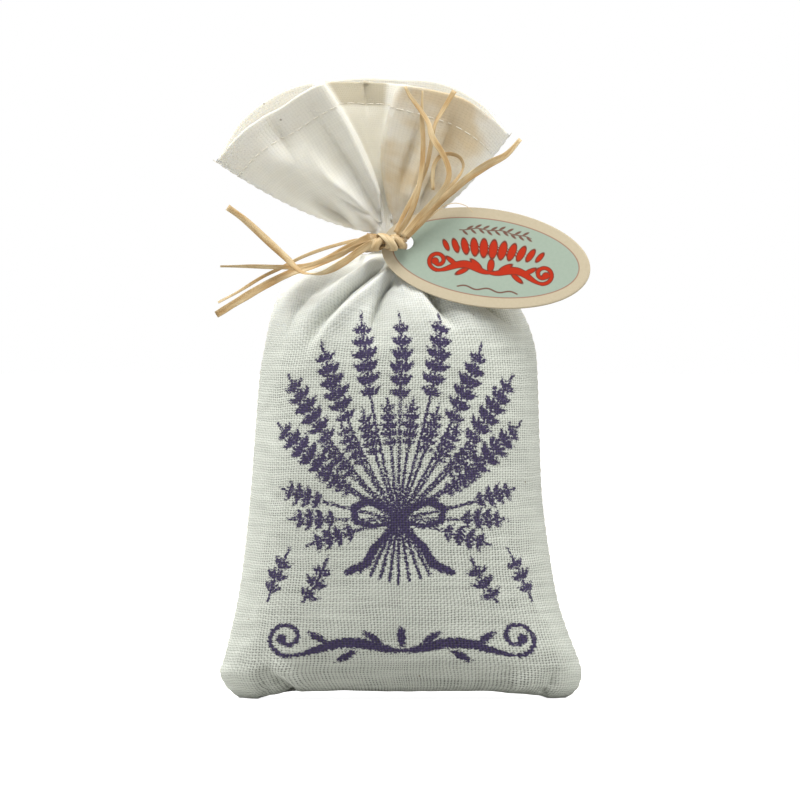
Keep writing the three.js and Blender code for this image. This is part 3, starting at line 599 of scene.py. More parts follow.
# Folds of the front, each a line of (x, z) in mm seen from the front. Height is in mm, plus
# for a ridge, minus for a crease; widths are in mm on its left and right at each end.
frontFolds = [
    # the shoulder, below the tie
    dict(line=[(-5.4, 110), (-9.5, 107), (-13.3, 104.2), (-17.7, 100), (-22.2, 96), (-24.6, 92),
               (-27.5, 84)], height=2.15, left=(1.2, 3.2), right=(1.2, 3.0)),
    dict(line=[(-4.4, 109.1), (-8.2, 106.2), (-12.6, 102.8), (-15.6, 99.8), (-18.6, 96.6),
               (-21.2, 93), (-24, 85)], height=-4.2, left=(0.6, 1.3), right=(0.6, 1.6)),
    dict(line=[(-2.9, 107.5), (-5.4, 104.7), (-9.3, 101.2), (-13.7, 97.4), (-17.9, 93),
               (-21.2, 88), (-24, 80)], height=2.2, left=(0.8, 1.8), right=(1.0, 2.6)),
    dict(line=[(-1.6, 105.8), (-4.2, 103.2), (-5.7, 100.6), (-7, 96.6), (-7.7, 93), (-8.6, 86)],
         height=-4.0, left=(0.6, 1.3), right=(0.9, 3.0)),
    dict(line=[(0, 104.5), (1.5, 100), (3, 94), (4.5, 86)], height=1.4, left=(2.5, 5),
         right=(2.5, 5)),
    dict(line=[(2.4, 105), (4.4, 101.6), (6.4, 97.6), (8.8, 93.6), (12, 89)],
         height=1.3, left=(1.6, 3.6), right=(1.0, 2.2)),
    dict(line=[(3.8, 106), (6.2, 102.6), (8.7, 98.8), (11.6, 94.6), (14.6, 91)],
         height=-3.0, left=(0.7, 1.6), right=(1.2, 2.2)),
    dict(line=[(6, 106), (12, 101), (16, 97.6), (19.9, 94.6), (24, 91.2), (28, 87)],
         height=1.7, left=(2.4, 4.6), right=(1.4, 2.8)),
    dict(line=[(9, 107.6), (16, 102.6), (20.8, 99.6), (25.4, 96), (30, 92.2), (33.4, 87.6)],
         height=-4.2, left=(0.8, 1.7), right=(1.3, 2.6)),
    dict(line=[(-9, 109), (-16.4, 105.2), (-22.2, 101.8), (-26.7, 96.5), (-28.9, 91), (-31, 83)],
         height=-1.6, left=(1.2, 2.4), right=(1.1, 2.2)),
    dict(line=[(-14, 109), (-22, 106), (-28.5, 101), (-32.5, 92)], height=1.3,
         left=(1.6, 3), right=(1.6, 3.0)),
    # the open mouth: pressed folds that spread from the tie
    dict(line=[(-5.6, 121), (-6.0, 126), (-8.7, 132), (-13.5, 142), (-20.4, 153)],
         height=1.1, left=(1.3, 3), right=(0.5, 1.0), power=1.5, soft=0.35),
    dict(line=[(-5.4, 117.6), (-13.1, 126.5), (-18.1, 130.8), (-23.1, 136.5), (-29.3, 144.5)],
         height=1.8, left=(1.6, 4.4), right=(0.9, 2.4), power=1.4),
    dict(line=[(-4.9, 118), (-9.3, 126), (-14, 133.3), (-18.5, 141), (-24, 150)],
         height=-1.6, left=(0.9, 2.4), right=(1.0, 2.8)),
    dict(line=[(-9, 118.6), (-16, 126.6), (-25.8, 134.4), (-33, 135.6), (-39.5, 131)],
         height=1.5, left=(2.0, 4.0), right=(2, 4.4)),
    dict(line=[(-24, 130), (-27.5, 135.6), (-30.5, 140), (-33.4, 145)], height=-1.9,
         left=(1.5, 2.6), right=(1.5, 3.2), soft=0.7),
    dict(line=[(-6.6, 113.6), (-11.3, 116.6), (-16.2, 120.6), (-24, 126)], height=-2.4,
         left=(0.7, 1.8), right=(0.8, 2.2)),
    dict(line=[(-7.8, 114.6), (-13, 117.4), (-19, 121), (-27, 127)], height=1.3,
         left=(1.2, 2.6), right=(1.0, 2.2)),
    dict(line=[(-5.2, 117), (-8, 120.6), (-13.6, 124.2), (-20, 128.6)], height=-1.7,
         left=(0.8, 2.2), right=(0.7, 2)),
    dict(line=[(-4.9, 127), (-4.7, 132), (-4.4, 137.8), (-3.2, 144.5), (-1.8, 153)],
         height=0.9, left=(0.6, 1.0), right=(1.0, 2.2), power=1.5, soft=0.45),
    dict(line=[(-0.3, 126), (0.6, 131), (2.6, 138), (5, 147)], height=-2.0,
         left=(0.7, 1.4), right=(0.8, 1.8), soft=0.35),
    dict(line=[(2, 124), (2.6, 128), (4.6, 134), (8, 145)], height=1.4, left=(1.1, 2.2),
         right=(1.3, 3.0)),
    dict(line=[(4.2, 122.5), (7, 129), (11, 140), (13, 151)], height=-2.0, left=(1.1, 2.2),
         right=(1.3, 2.6)),
    dict(line=[(1.6, 116), (10.6, 127), (16.8, 138), (20, 147)], height=1.7, left=(1.5, 3),
         right=(1.5, 4)),
    dict(line=[(3, 116.6), (13.6, 125), (21.6, 133), (26, 138)], height=-1.6, left=(1.1, 2.4),
         right=(1.3, 3)),
    dict(line=[(-9.5, 154), (-9.2, 149.5), (-8.2, 144)], height=-1.2, left=(0.5, 1.0),
         right=(1.2, 1.6)),
    # the two bottom corners
    dict(line=[(-33.1, 1.5), (-34.6, 3.5), (-35.6, 9)], height=-0.9, left=(1.2, 1.8),
         right=(1.2, 2.5)),
    dict(line=[(-26.6, 1.4), (-29, 3.2), (-32.4, 5.6), (-34.6, 9.6)], height=-1.9,
         left=(1.1, 1.8), right=(0.9, 1.6)),
    dict(line=[(-25.4, 3.6), (-28, 5.6), (-30.6, 8.6), (-31.6, 13)], height=1.2, left=(1, 1.8),
         right=(1.8, 3.2)),
    dict(line=[(34.5, 0.6), (37, 3.6), (38.2, 9)], height=-1.5, left=(1.6, 2.5),
         right=(1, 1.8)),
    dict(line=[(27, 3.2), (31, 5.2), (34.5, 9)], height=1.0, left=(1.8, 3), right=(1.4, 2.5)),
]
backFolds = [
    dict(line=[(-3, 109), (-9, 103), (-16, 95), (-20, 85)], height=2.0, left=(2, 6),
         right=(1.6, 4)),
    dict(line=[(-2, 108), (-4, 101), (-8, 93), (-10, 84)], height=-1.9, left=(1.2, 3),
         right=(1.6, 4)),
    dict(line=[(0, 107), (1, 99), (0, 90)], height=1.7, left=(2, 4), right=(1.6, 4)),
    dict(line=[(2, 108), (7, 101), (10, 93), (11, 83)], height=-1.8, left=(1.4, 4),
         right=(1.2, 3)),
    dict(line=[(4, 109), (12, 102), (20, 94), (25, 85)], height=1.9, left=(2, 4), right=(2, 6)),
    dict(line=[(-5, 111), (-15, 105), (-24, 98), (-30, 89)], height=-1.5, left=(2, 5),
         right=(1.6, 4)),
    # the inside of the open mouth
    dict(line=[(-6, 119), (-16, 128), (-25, 138), (-30, 144)], height=-1.4, left=(1.6, 4),
         right=(2, 5)),
    dict(line=[(-4, 119), (-10, 130), (-15, 141), (-17, 150)], height=1.4, left=(2, 5),
         right=(2, 5)),
    dict(line=[(-2, 119), (-3, 131), (-5, 143), (-5, 152)], height=-1.3, left=(2, 4), right=(2, 4)),
    dict(line=[(0, 119), (4, 130), (7, 141), (9, 151)], height=1.3, left=(2, 5), right=(2, 5)),
    dict(line=[(2, 119), (10, 129), (16, 139), (20, 147)], height=-1.3, left=(2, 4), right=(2, 4)),
    # the two bottom corners
    dict(line=[(33, 0.6), (35, 3), (36, 7)], height=-1.1, left=(1.2, 2), right=(1.2, 2)),
    dict(line=[(-33, 0.6), (-35, 3), (-36, 7)], height=-1.1, left=(1.2, 2), right=(1.2, 2)),
]


def foldHeights(x, z, folds):
    # how far each place stands out of the smooth form because of the folds
    total = np.zeros_like(x)
    for fold in folds:
        line = np.array(fold["line"], float)
        pieces = np.linalg.norm(np.diff(line, axis=0), axis=1)
        whole = pieces.sum()
        nearest = np.full_like(x, 1e9)
        side = np.zeros_like(x)
        share = np.zeros_like(x)
        passed = 0.0
        for start, end, size in zip(line[:-1], line[1:], pieces):
            direction = (end - start) / size
            dx, dz = x - start[0], z - start[1]
            t = np.clip(dx * direction[0] + dz * direction[1], 0, size)
            ox, oz = dx - t * direction[0], dz - t * direction[1]
            distance = np.hypot(ox, oz)
            closer = distance < nearest
            nearest = np.where(closer, distance, nearest)
            side = np.where(closer, direction[0] * dz - direction[1] * dx, side)
            share = np.where(closer, (passed + t) / whole, share)
            passed += size
        left = fold["left"][0] + (fold["left"][1] - fold["left"][0]) * share
        right = fold["right"][0] + (fold["right"][1] - fold["right"][0]) * share
        downwards = 1.0 if line[-1][1] < line[0][1] else -1.0
        width = np.where(side * downwards < 0, left, right)
        power = fold.get("power", 2 if fold["height"] > 0 else 1.25)  # a crease is sharper
        strengthHere = between(share, -0.06, fold.get("soft", 0.1)) * (1 - between(share, 0.4, 1.0))
        total += fold["height"] * strengthHere * np.exp(-((nearest / width) ** power))
    return total


def gridNormals(grid, facing):
    down = np.gradient(grid, axis=0)
    normals = unit(np.cross(np.gradient(grid, axis=1), down) * -facing)
    seamOut = unit(np.cross(down, np.array([0.0, 1, 0])))
    normals[:, 0], normals[:, -1] = seamOut[:, 0], -seamOut[:, -1]
    normals[0] = (0, 0, -1)
    return normals


def wrinkles(grid, facing):
    # faint unevenness of soft cloth over loose buds
    (wide, high), (fineWide, fineHigh) = wrinkle["broad"], wrinkle["fine"]
    values = [noise.noise(Vector((x / wide, z / high, facing * 5))) + wrinkle["fineShare"]
              * noise.noise(Vector((x / fineWide, z / fineHigh, facing * 9)))
              for x, z in grid[:, :, [0, 2]].reshape(-1, 2)]
    return np.array(values).reshape(grid.shape[:2])


def panelGrid(facing):
    turn, halfGirth = evenTurns(bag["columns"] + 1)
    places = np.linspace(0, sectionPlaces[-1], bag["bodyRows"])
    body = bodyPoints(places, turn, facing)
    shares = np.linspace(0, 1, bag["skirtRows"] + 1)[1:]
    skirt = skirtPoints(body[-1], mouthPoints(turn, facing), shares, turn, facing)
    grid = np.concatenate([body, skirt])
    # the bottom seam arches up between the two corners
    arch = np.clip(1 - (grid[:, :, 0] / bag["archHalfWidth"]) ** 4, 0, 1) ** 0.8
    grid[:, :, 2] += bag["baseArch"] * arch * (1 - between(grid[:, :, 2], 0, fade["arch"]))
    normals = gridNormals(grid, facing)
    heights = foldHeights(grid[:, :, 0], grid[:, :, 2], frontFolds if facing < 0 else backFolds)
    seamFade = between(np.sin(turn), *fade["seam"])[None, :]
    overNeck = grid[:, :, 2] - bag["neckHeight"]
    reach = np.where(overNeck > 0, fade["aboveTie"], fade["belowTie"])
    neckFade = 1 - fade["tie"] * np.exp(-((overNeck / reach) ** 2))
    bottomFade = between(np.arange(len(grid)), 0, fade["baseRows"])[:, None]
    calmer = wrinkle["body"] - wrinkle["mouth"]
    calm = wrinkle["body"] - calmer * between(grid[:, :, 2], *wrinkle["change"])
    uneven = calm * wrinkles(grid, facing) * bottomFade
    grid = grid + normals * ((heights * bottomFade * neckFade + uneven) * seamFade)[:, :, None]
    grid[:, :, 2] = np.maximum(grid[:, :, 2], 0)
    # rows follow the cloth without the folds' own detours: only every twelfth is measured
    along = runLengths(grid[:, bag["columns"] // 2])
    kept = np.unique(np.append(np.arange(0, len(along), 12), len(along) - 1))
    along = np.interp(np.arange(len(along)), kept, along[kept])
    return grid, along, np.linspace(-halfGirth / 2, halfGirth / 2, bag["columns"] + 1)


# the cloth's settling: every is the coarse grid's step, spare its shrinking and reach the
# furthest move in mm; the rest are the cloth's settings, how firmly it's held, and where it fades
settle = dict(every=4, frames=20, pressure=4.0, spare=0.012, reach=0.6, quality=7, mass=0.15,
              stretch=20, shear=6, bend=0.2, tied=3.4, holdMouth=0.12, holdBody=0.03, belowTie=3,
              nearSeam=(0.02, 0.5), atSeam=0.25, base=(3, 14), shoulder=(96, 114), atShoulder=0.85)


def refined(values, count):
    # values on the coarse grid, along its first axis, at each row of the fine one
    at = np.minimum(np.arange(count) / settle["every"], len(values) - 1)
    flat = values.reshape(len(values), -1)
    fine = np.stack([smoothAlong(np.arange(len(values)), column, at) for column in flat.T], 1)
    return fine.reshape(count, *values.shape[1:])


def settleCloth(grids):
    # both panels, sewn together at their sides, swell and crumple a little over the filling
    small = [grid[::settle["every"], ::settle["every"]] for grid in grids]
    rows, columns = small[0].shape[:2]
    points = np.concatenate([small[0].reshape(-1, 3), small[1].reshape(-1, 3)]) * mm
    front = np.arange(rows * columns).reshape(rows, columns)
    back = front + rows * columns
    back[:, 0], back[:, -1] = front[:, 0], front[:, -1]
    faces = np.concatenate([gridQuads(front), gridQuads(back)[:, ::-1]]).tolist()
    work = meshObject("settling", points, faces)
    height = points[:, 2] / mm
    row = np.tile(np.repeat(np.arange(rows), columns), 2)
    held = work.vertex_groups.new(name="held")
    puffed = work.vertex_groups.new(name="puffed")
    for v in range(len(points)):
        above = height[v] - bag["neckHeight"]
        hold = settle["holdMouth"] if above > 0 else settle["holdBody"]
        held.add([v], 1.0 if abs(above) < settle["tied"] or row[v] < 2 else hold, "REPLACE")
        puffed.add([v], 1.0 if above < -settle["belowTie"] else 0.0, "REPLACE")
    cloth = work.modifiers.new("cloth", "CLOTH")
    wanted = dict(quality=settle["quality"], mass=settle["mass"],
                  compression_stiffness=settle["stretch"], tension_stiffness=settle["stretch"],
                  shear_stiffness=settle["shear"], bending_stiffness=settle["bend"],
                  vertex_group_mass="held", use_pressure=True,
                  uniform_pressure_force=settle["pressure"], vertex_group_pressure="puffed",
                  shrink_min=-settle["spare"])
    for name, value in wanted.items():
        setattr(cloth.settings, name, value)
    cloth.settings.effector_weights.gravity = 0
    cloth.collision_settings.use_collision = False
    cloth.collision_settings.use_self_collision = False
    cloth.point_cache.frame_start, cloth.point_cache.frame_end = 1, settle["frames"]
    for step in range(1, settle["frames"] + 1):
        scene.frame_set(step)
    result = work.evaluated_get(bpy.context.evaluated_depsgraph_get())
    settled = np.zeros(len(points) * 3)
    result.data.vertices.foreach_get("co", settled)
    moved = settled.reshape(-1, 3) / mm - points / mm
    print("cloth settled, largest move", round(float(np.linalg.norm(moved, axis=1).max()), 2))
    scene.frame_set(1)
    bpy.data.objects.remove(work)
    for grid, index in zip(grids, (front, back)):
        shift = moved[index]
        size = np.linalg.norm(shift, axis=2, keepdims=True)
        shift = shift * np.minimum(1, settle["reach"] / np.maximum(size, 1e-9))
        fineRows, fineColumns = grid.shape[:2]
        wider = refined(shift.transpose(1, 0, 2), fineColumns)
        fine = refined(wider.transpose(1, 0, 2), fineRows)
        # the base, the tie and the two side seams stay where they are
        turn = np.linspace(0, np.pi, fineColumns)
        inside = between(np.sin(turn), *settle["nearSeam"])[None, :, None]
        high = grid[:, :, 2]
        free = between(high, *settle["base"]) \
            * (1 - settle["atShoulder"] * between(high, *settle["shoulder"]))
        grid += fine * free[:, :, None] * (settle["atSeam"] + (1 - settle["atSeam"]) * inside)
        grid[:, :, 2] = np.maximum(grid[:, :, 2], 0)


def sheetMesh(grid, along, acrossCloth, facing):
    # the cloth as a closed sheet, thicker in the turned-in hem
    rows, columns = grid.shape[:2]
    fromRim = along[-1] - along
    inHem = (1 - between(fromRim, bag["hemDepth"] - 0.8, bag["hemDepth"] + 0.2))[:, None, None]
    thickness = bag["cloth"] + (bag["hem"] - bag["cloth"]) * inHem
    inner = grid - gridNormals(grid, facing) * thickness
    points = np.concatenate([grid.reshape(-1, 3), inner.reshape(-1, 3)])
    uv = np.stack(np.meshgrid(acrossCloth, along), 2).reshape(-1, 2) / clothMap + 0.5
    size = rows * columns
    index = np.arange(size).reshape(rows, columns)
    outer = gridQuads(index)
    faces = [outer, outer[:, [0, 3, 2, 1]] + size]
    edges = [(index[1:, 0], index[:-1, 0]), (index[:-1, -1], index[1:, -1]),
             (index[0, :-1], index[0, 1:]), (index[-1, 1:], index[-1, :-1])]
    for start, end in edges:
        faces.append(np.stack([end, start, start + size, end + size], 1))
    faces = np.concatenate(faces)
    if facing > 0:
        faces = faces[:, ::-1]
    return points, faces, np.concatenate([uv, uv])


binding = dict(halfWidth=4.9, halfDepth=5.1, width=1.5, turns=2, gap=0.25, steps=24,
               knotHalf=4.6, clear=0.3, lead=1.9, halfThickness=0.26, ripple=0.05)


def makeBinding():
    # two turns round the neck, led in from the knot round the left of the tag
    climb = binding["width"] + binding["gap"]
    beside = knotMiddle[0] - binding["knotHalf"] - binding["clear"] - binding["width"] / 2
    low = tie["z"] - binding["width"]
    route = [(beside, knotMiddle[1], (knotMiddle[2] + low) / 2 - binding["clear"]),
             (beside - binding["lead"], knotMiddle[1] + binding["lead"], low),
             (beside - binding["lead"], knotMiddle[1] / 2, low)]
    for step in range(binding["turns"] * binding["steps"] + 1):
        turns = step / binding["steps"]
        turn = math.pi * (1 - 2 * turns)
        route.append((bag["neckOffset"] + binding["halfWidth"] * math.cos(turn),
                      binding["halfDepth"] * math.sin(turn),
                      tie["z"] + climb * (turns - binding["turns"] / 2)))
    line = smoothRoute(route, strand["spacing"])[0]
    along = unit(np.gradient(line, axis=0))
    out = line - [bag["neckOffset"], 0, 0]
    out[:, 2] = 0
    wide = unit(np.cross(unit(out), along))
    thin = np.cross(along, wide)

    def place(i, c, s):
        ripple = binding["ripple"] * noise.noise(Vector((i * 0.2, c * 3, 0)))
        return (line[i] + wide[i] * binding["width"] / 2 * c
                + thin[i] * (binding["halfThickness"] * s + ripple),
                (c * binding["width"] / 2, i * strand["spacing"]))

    raffiaPiece("raffia_binding", [tubeMesh(len(line), place)], "bag", "neck_binding")


makeBinding()
print("binding made, cloth length", round(float(sectionPlaces[-1]), 1))


# The print: a bunch of lavender over a plain flourish, in millimetres of cloth

def capsule(px, pz, start, end, startRadius, endRadius):
    # distance to a stroke that tapers from one end to the other
    start, end = np.array(start, float), np.array(end, float)
    direction = end - start
    size2 = max(float(direction @ direction), 1e-9)
    t = np.clip(((px - start[0]) * direction[0] + (pz - start[1]) * direction[1]) / size2, 0, 1)
    radius = startRadius + (endRadius - startRadius) * t
    return np.hypot(px - start[0] - t * direction[0], pz - start[1] - t * direction[1]) - radius


def leafOutline(px, pz, centre, angle, halfLength, halfWidth):
    # distance to a pointed ellipse
    c, s = math.cos(angle), math.sin(angle)
    u = (px - centre[0]) * c + (pz - centre[1]) * s
    v = -(px - centre[0]) * s + (pz - centre[1]) * c
    q = np.sqrt((u / halfLength) ** 2 + (v / halfWidth) ** 2)
    return (q - 1) * halfWidth


def drawCurve(x, y, ink, points, radii):
    # a stroke through the points, with its own radius at each
    for start, end, startRadius, endRadius in zip(points[:-1], points[1:], radii[:-1], radii[1:]):
        np.minimum(ink, capsule(x, y, start, end, startRadius, endRadius), out=ink)


def curl(middle, size, turns, side, steps=26):
    # a spiral that leaves the bottom of its circle outwards and winds in
    places = []
    for index in range(steps + 1):
        t = index / steps
        turn = -math.pi / 2 + turns * 2 * math.pi * t
        radius = size * (1 - 0.72 * t)
        places.append((middle[0] + side * radius * math.cos(turn),
                       middle[1] + radius * math.sin(turn)))
    return places


def drawScroll(x, y, ink, middle, halfLength, size, weight, lift):
    # a plain scroll: a wave that swells in each half, with a curl at both ends and leaves
    cx, cy = middle
    for side in (-1, 1):
        end = curl((cx + side * halfLength, cy), size, 1.2, side)
        shares = np.linspace(0, 1, 24)
        wave = [(cx + side * halfLength * t, cy - size + lift * math.sin(math.pi * t) ** 2
                 + lift * 0.5 * (1 - t) ** 2) for t in shares]
        swell = [weight * (0.42 + 0.75 * math.sin(math.pi * min(1, t * 1.1))) for t in shares]
        drawCurve(x, y, ink, wave + end, swell + [weight * 0.5] * len(end))
        np.minimum(ink, capsule(x, y, end[-1], end[-1], weight * 1.1, weight * 1.1), out=ink)
        for share, above in ((0.28, 1), (0.52, -1), (0.74, 1)):
            base = (cx + side * halfLength * share,
                    cy - size + lift * math.sin(math.pi * share) ** 2 + above * size * 0.66)
            np.minimum(ink, leafOutline(x, y, base, side * above * 0.6, size * 0.6,
                       size * 0.2), out=ink)
    np.minimum(ink, leafOutline(x, y, (cx, cy - size + lift * 0.5 + size * 0.75), math.pi / 2,
               size * 0.62, size * 0.3), out=ink)


def drawSprig(px, pz, ink, foot, tip, bend, spike, budSize, rng):
    # one stem of lavender from its foot to its tip, with whorls of buds on the last part
    foot, tip = np.array(foot, float), np.array(tip, float)
    middle = (foot + tip) / 2 + np.array([bend, 0])
    stem = [(1 - t) ** 2 * foot + 2 * t * (1 - t) * middle + t * t * tip
            for t in np.linspace(0, 1, 13)]
    for start, end in zip(stem[:-1], stem[1:]):
        np.minimum(ink, capsule(px, pz, start, end, 0.42, 0.38), out=ink)
    size = np.linalg.norm(tip - foot)
    whorls = max(3, int(spike / (budSize * 1.75)))
    for k in range(whorls + 1):
        t = 1 - spike / size * (1 - k / whorls)
        place = (1 - t) ** 2 * foot + 2 * t * (1 - t) * middle + t * t * tip
        heading = 2 * (1 - t) * (middle - foot) + 2 * t * (tip - middle)
        angle = math.atan2(heading[1], heading[0])
        sideways = np.array([math.sin(angle), -math.cos(angle)])
        grow = 0.6 + 0.5 * math.sin(math.pi * min(1, (k + 1.2) / (whorls + 1.4)))
        for spread in (-1, -0.42, 0.42, 1) if k < whorls else (0,):
            tilt = angle - spread * 0.85 + rng.uniform(-0.15, 0.15)
            centre = place + sideways * spread * budSize * grow * 1.05 \
                - abs(spread) * 0.2 * budSize * np.array([math.cos(angle), math.sin(angle)])
            np.minimum(ink, leafOutline(px, pz, centre + rng.uniform(-0.12, 0.12, 2), tilt,
                       budSize * grow, budSize * grow * 0.42), out=ink)


printPlace = dict(x=0.6, base=39.5, flourish=27.5, budSize=1.7)
farFromInk = 4.0
clothMap = 200  # mm of cloth that the map coordinates 0 to 1 span


def printDistance(cx, cz):
    # how far each place of the cloth is from the ink, in mm, minus inside it
    rng = np.random.default_rng(12)
    ink = np.full_like(cx, farFromInk)
    x, z = cx - printPlace["x"], cz - printPlace["base"]
    knot = np.array([0.0, 17.5])
    # tall stems fan out from the ribbon, with shorter ones between them
    for index in range(9):
        angle = math.radians((index - 4) * 13.5)
        reach = 51.5 - 1.1 * (index - 4) ** 2 * 0.62 + (1.2 if index % 2 else -0.6)
        tip = knot + reach * np.array([math.sin(angle), math.cos(angle)])
        drawSprig(x, z, ink, knot, tip, 0.08 * tip[0], 19.5, printPlace["budSize"], rng)
    for index in range(10):
        angle = math.radians((index - 4.5) * 13.0)
        reach = 29.5 - 0.22 * (index - 4.5) ** 2 + rng.uniform(-0.8, 0.8)
        tip = knot + reach * np.array([math.sin(angle), math.cos(angle)])
        drawSprig(x, z, ink, knot, tip, 0.06 * tip[0], 10.5, 1.2, rng)
    for side in (-1, 1):
        for bend, tip in ((3, (27, 17.5)), (2.4, (22, 11)), (3.4, (30, 25))):
            drawSprig(x, z, ink, knot, (side * tip[0], tip[1]), side * bend, 11.5, 1.35, rng)
    # the cut stems below the ribbon
    for index in range(9):
        away = (index - 4) * 2.4 + rng.uniform(-0.3, 0.3)
        np.minimum(ink, capsule(x, z, (away * 0.12, knot[1]), (away, 1.5 + abs(away) * 0.3),
                   0.5, 0.42), out=ink)
    # the ribbon: two loops, two ends and a knot
    for side in (-1, 1):
        loop = [(0, 17.5), (side * 3.5, 20.6), (side * 8, 22), (side * 11, 20.2),
                (side * 10.4, 17), (side * 6, 15.8), (0, 17)]
        drawCurve(x, z, ink, loop, [0.7, 0.9, 1.1, 1.0, 0.8, 0.7, 0.7])
        end = [(0, 17), (side * 3, 13.5), (side * 6, 10.5), (side * 8, 6.6), (side * 12.5, 4.4)]
        drawCurve(x, z, ink, end, [0.8, 0.9, 1.1, 1.2, 0.9])
    np.minimum(ink, leafOutline(x, z, knot, 0.0, 2.3, 1.9), out=ink)
    # loose sprigs in the two lower corners
    for side in (-1, 1):
        for foot, tip, bend in (((31.5, -3), (27, 9.5), 1), ((22.5, -3), (17.5, 7.5), -1)):
            drawSprig(x, z, ink, (side * foot[0], foot[1]), (side * tip[0], tip[1]),
                      side * bend, 9.5, 1.4, rng)
    # a plain scroll underneath
    drawScroll(x, cz - printPlace["flourish"], ink, (0.0, 0.0), 26, 4.4, 1.15, 3.0)
    return ink


# Muslin: plain-woven unbleached cotton, 13 warp and 17 weft threads to the centimetre

muslin = dict(warpPitch=0.745, weftPitch=0.6, warpShare=0.325, weftShare=0.33, slub=0.1,
              weave=0.2)


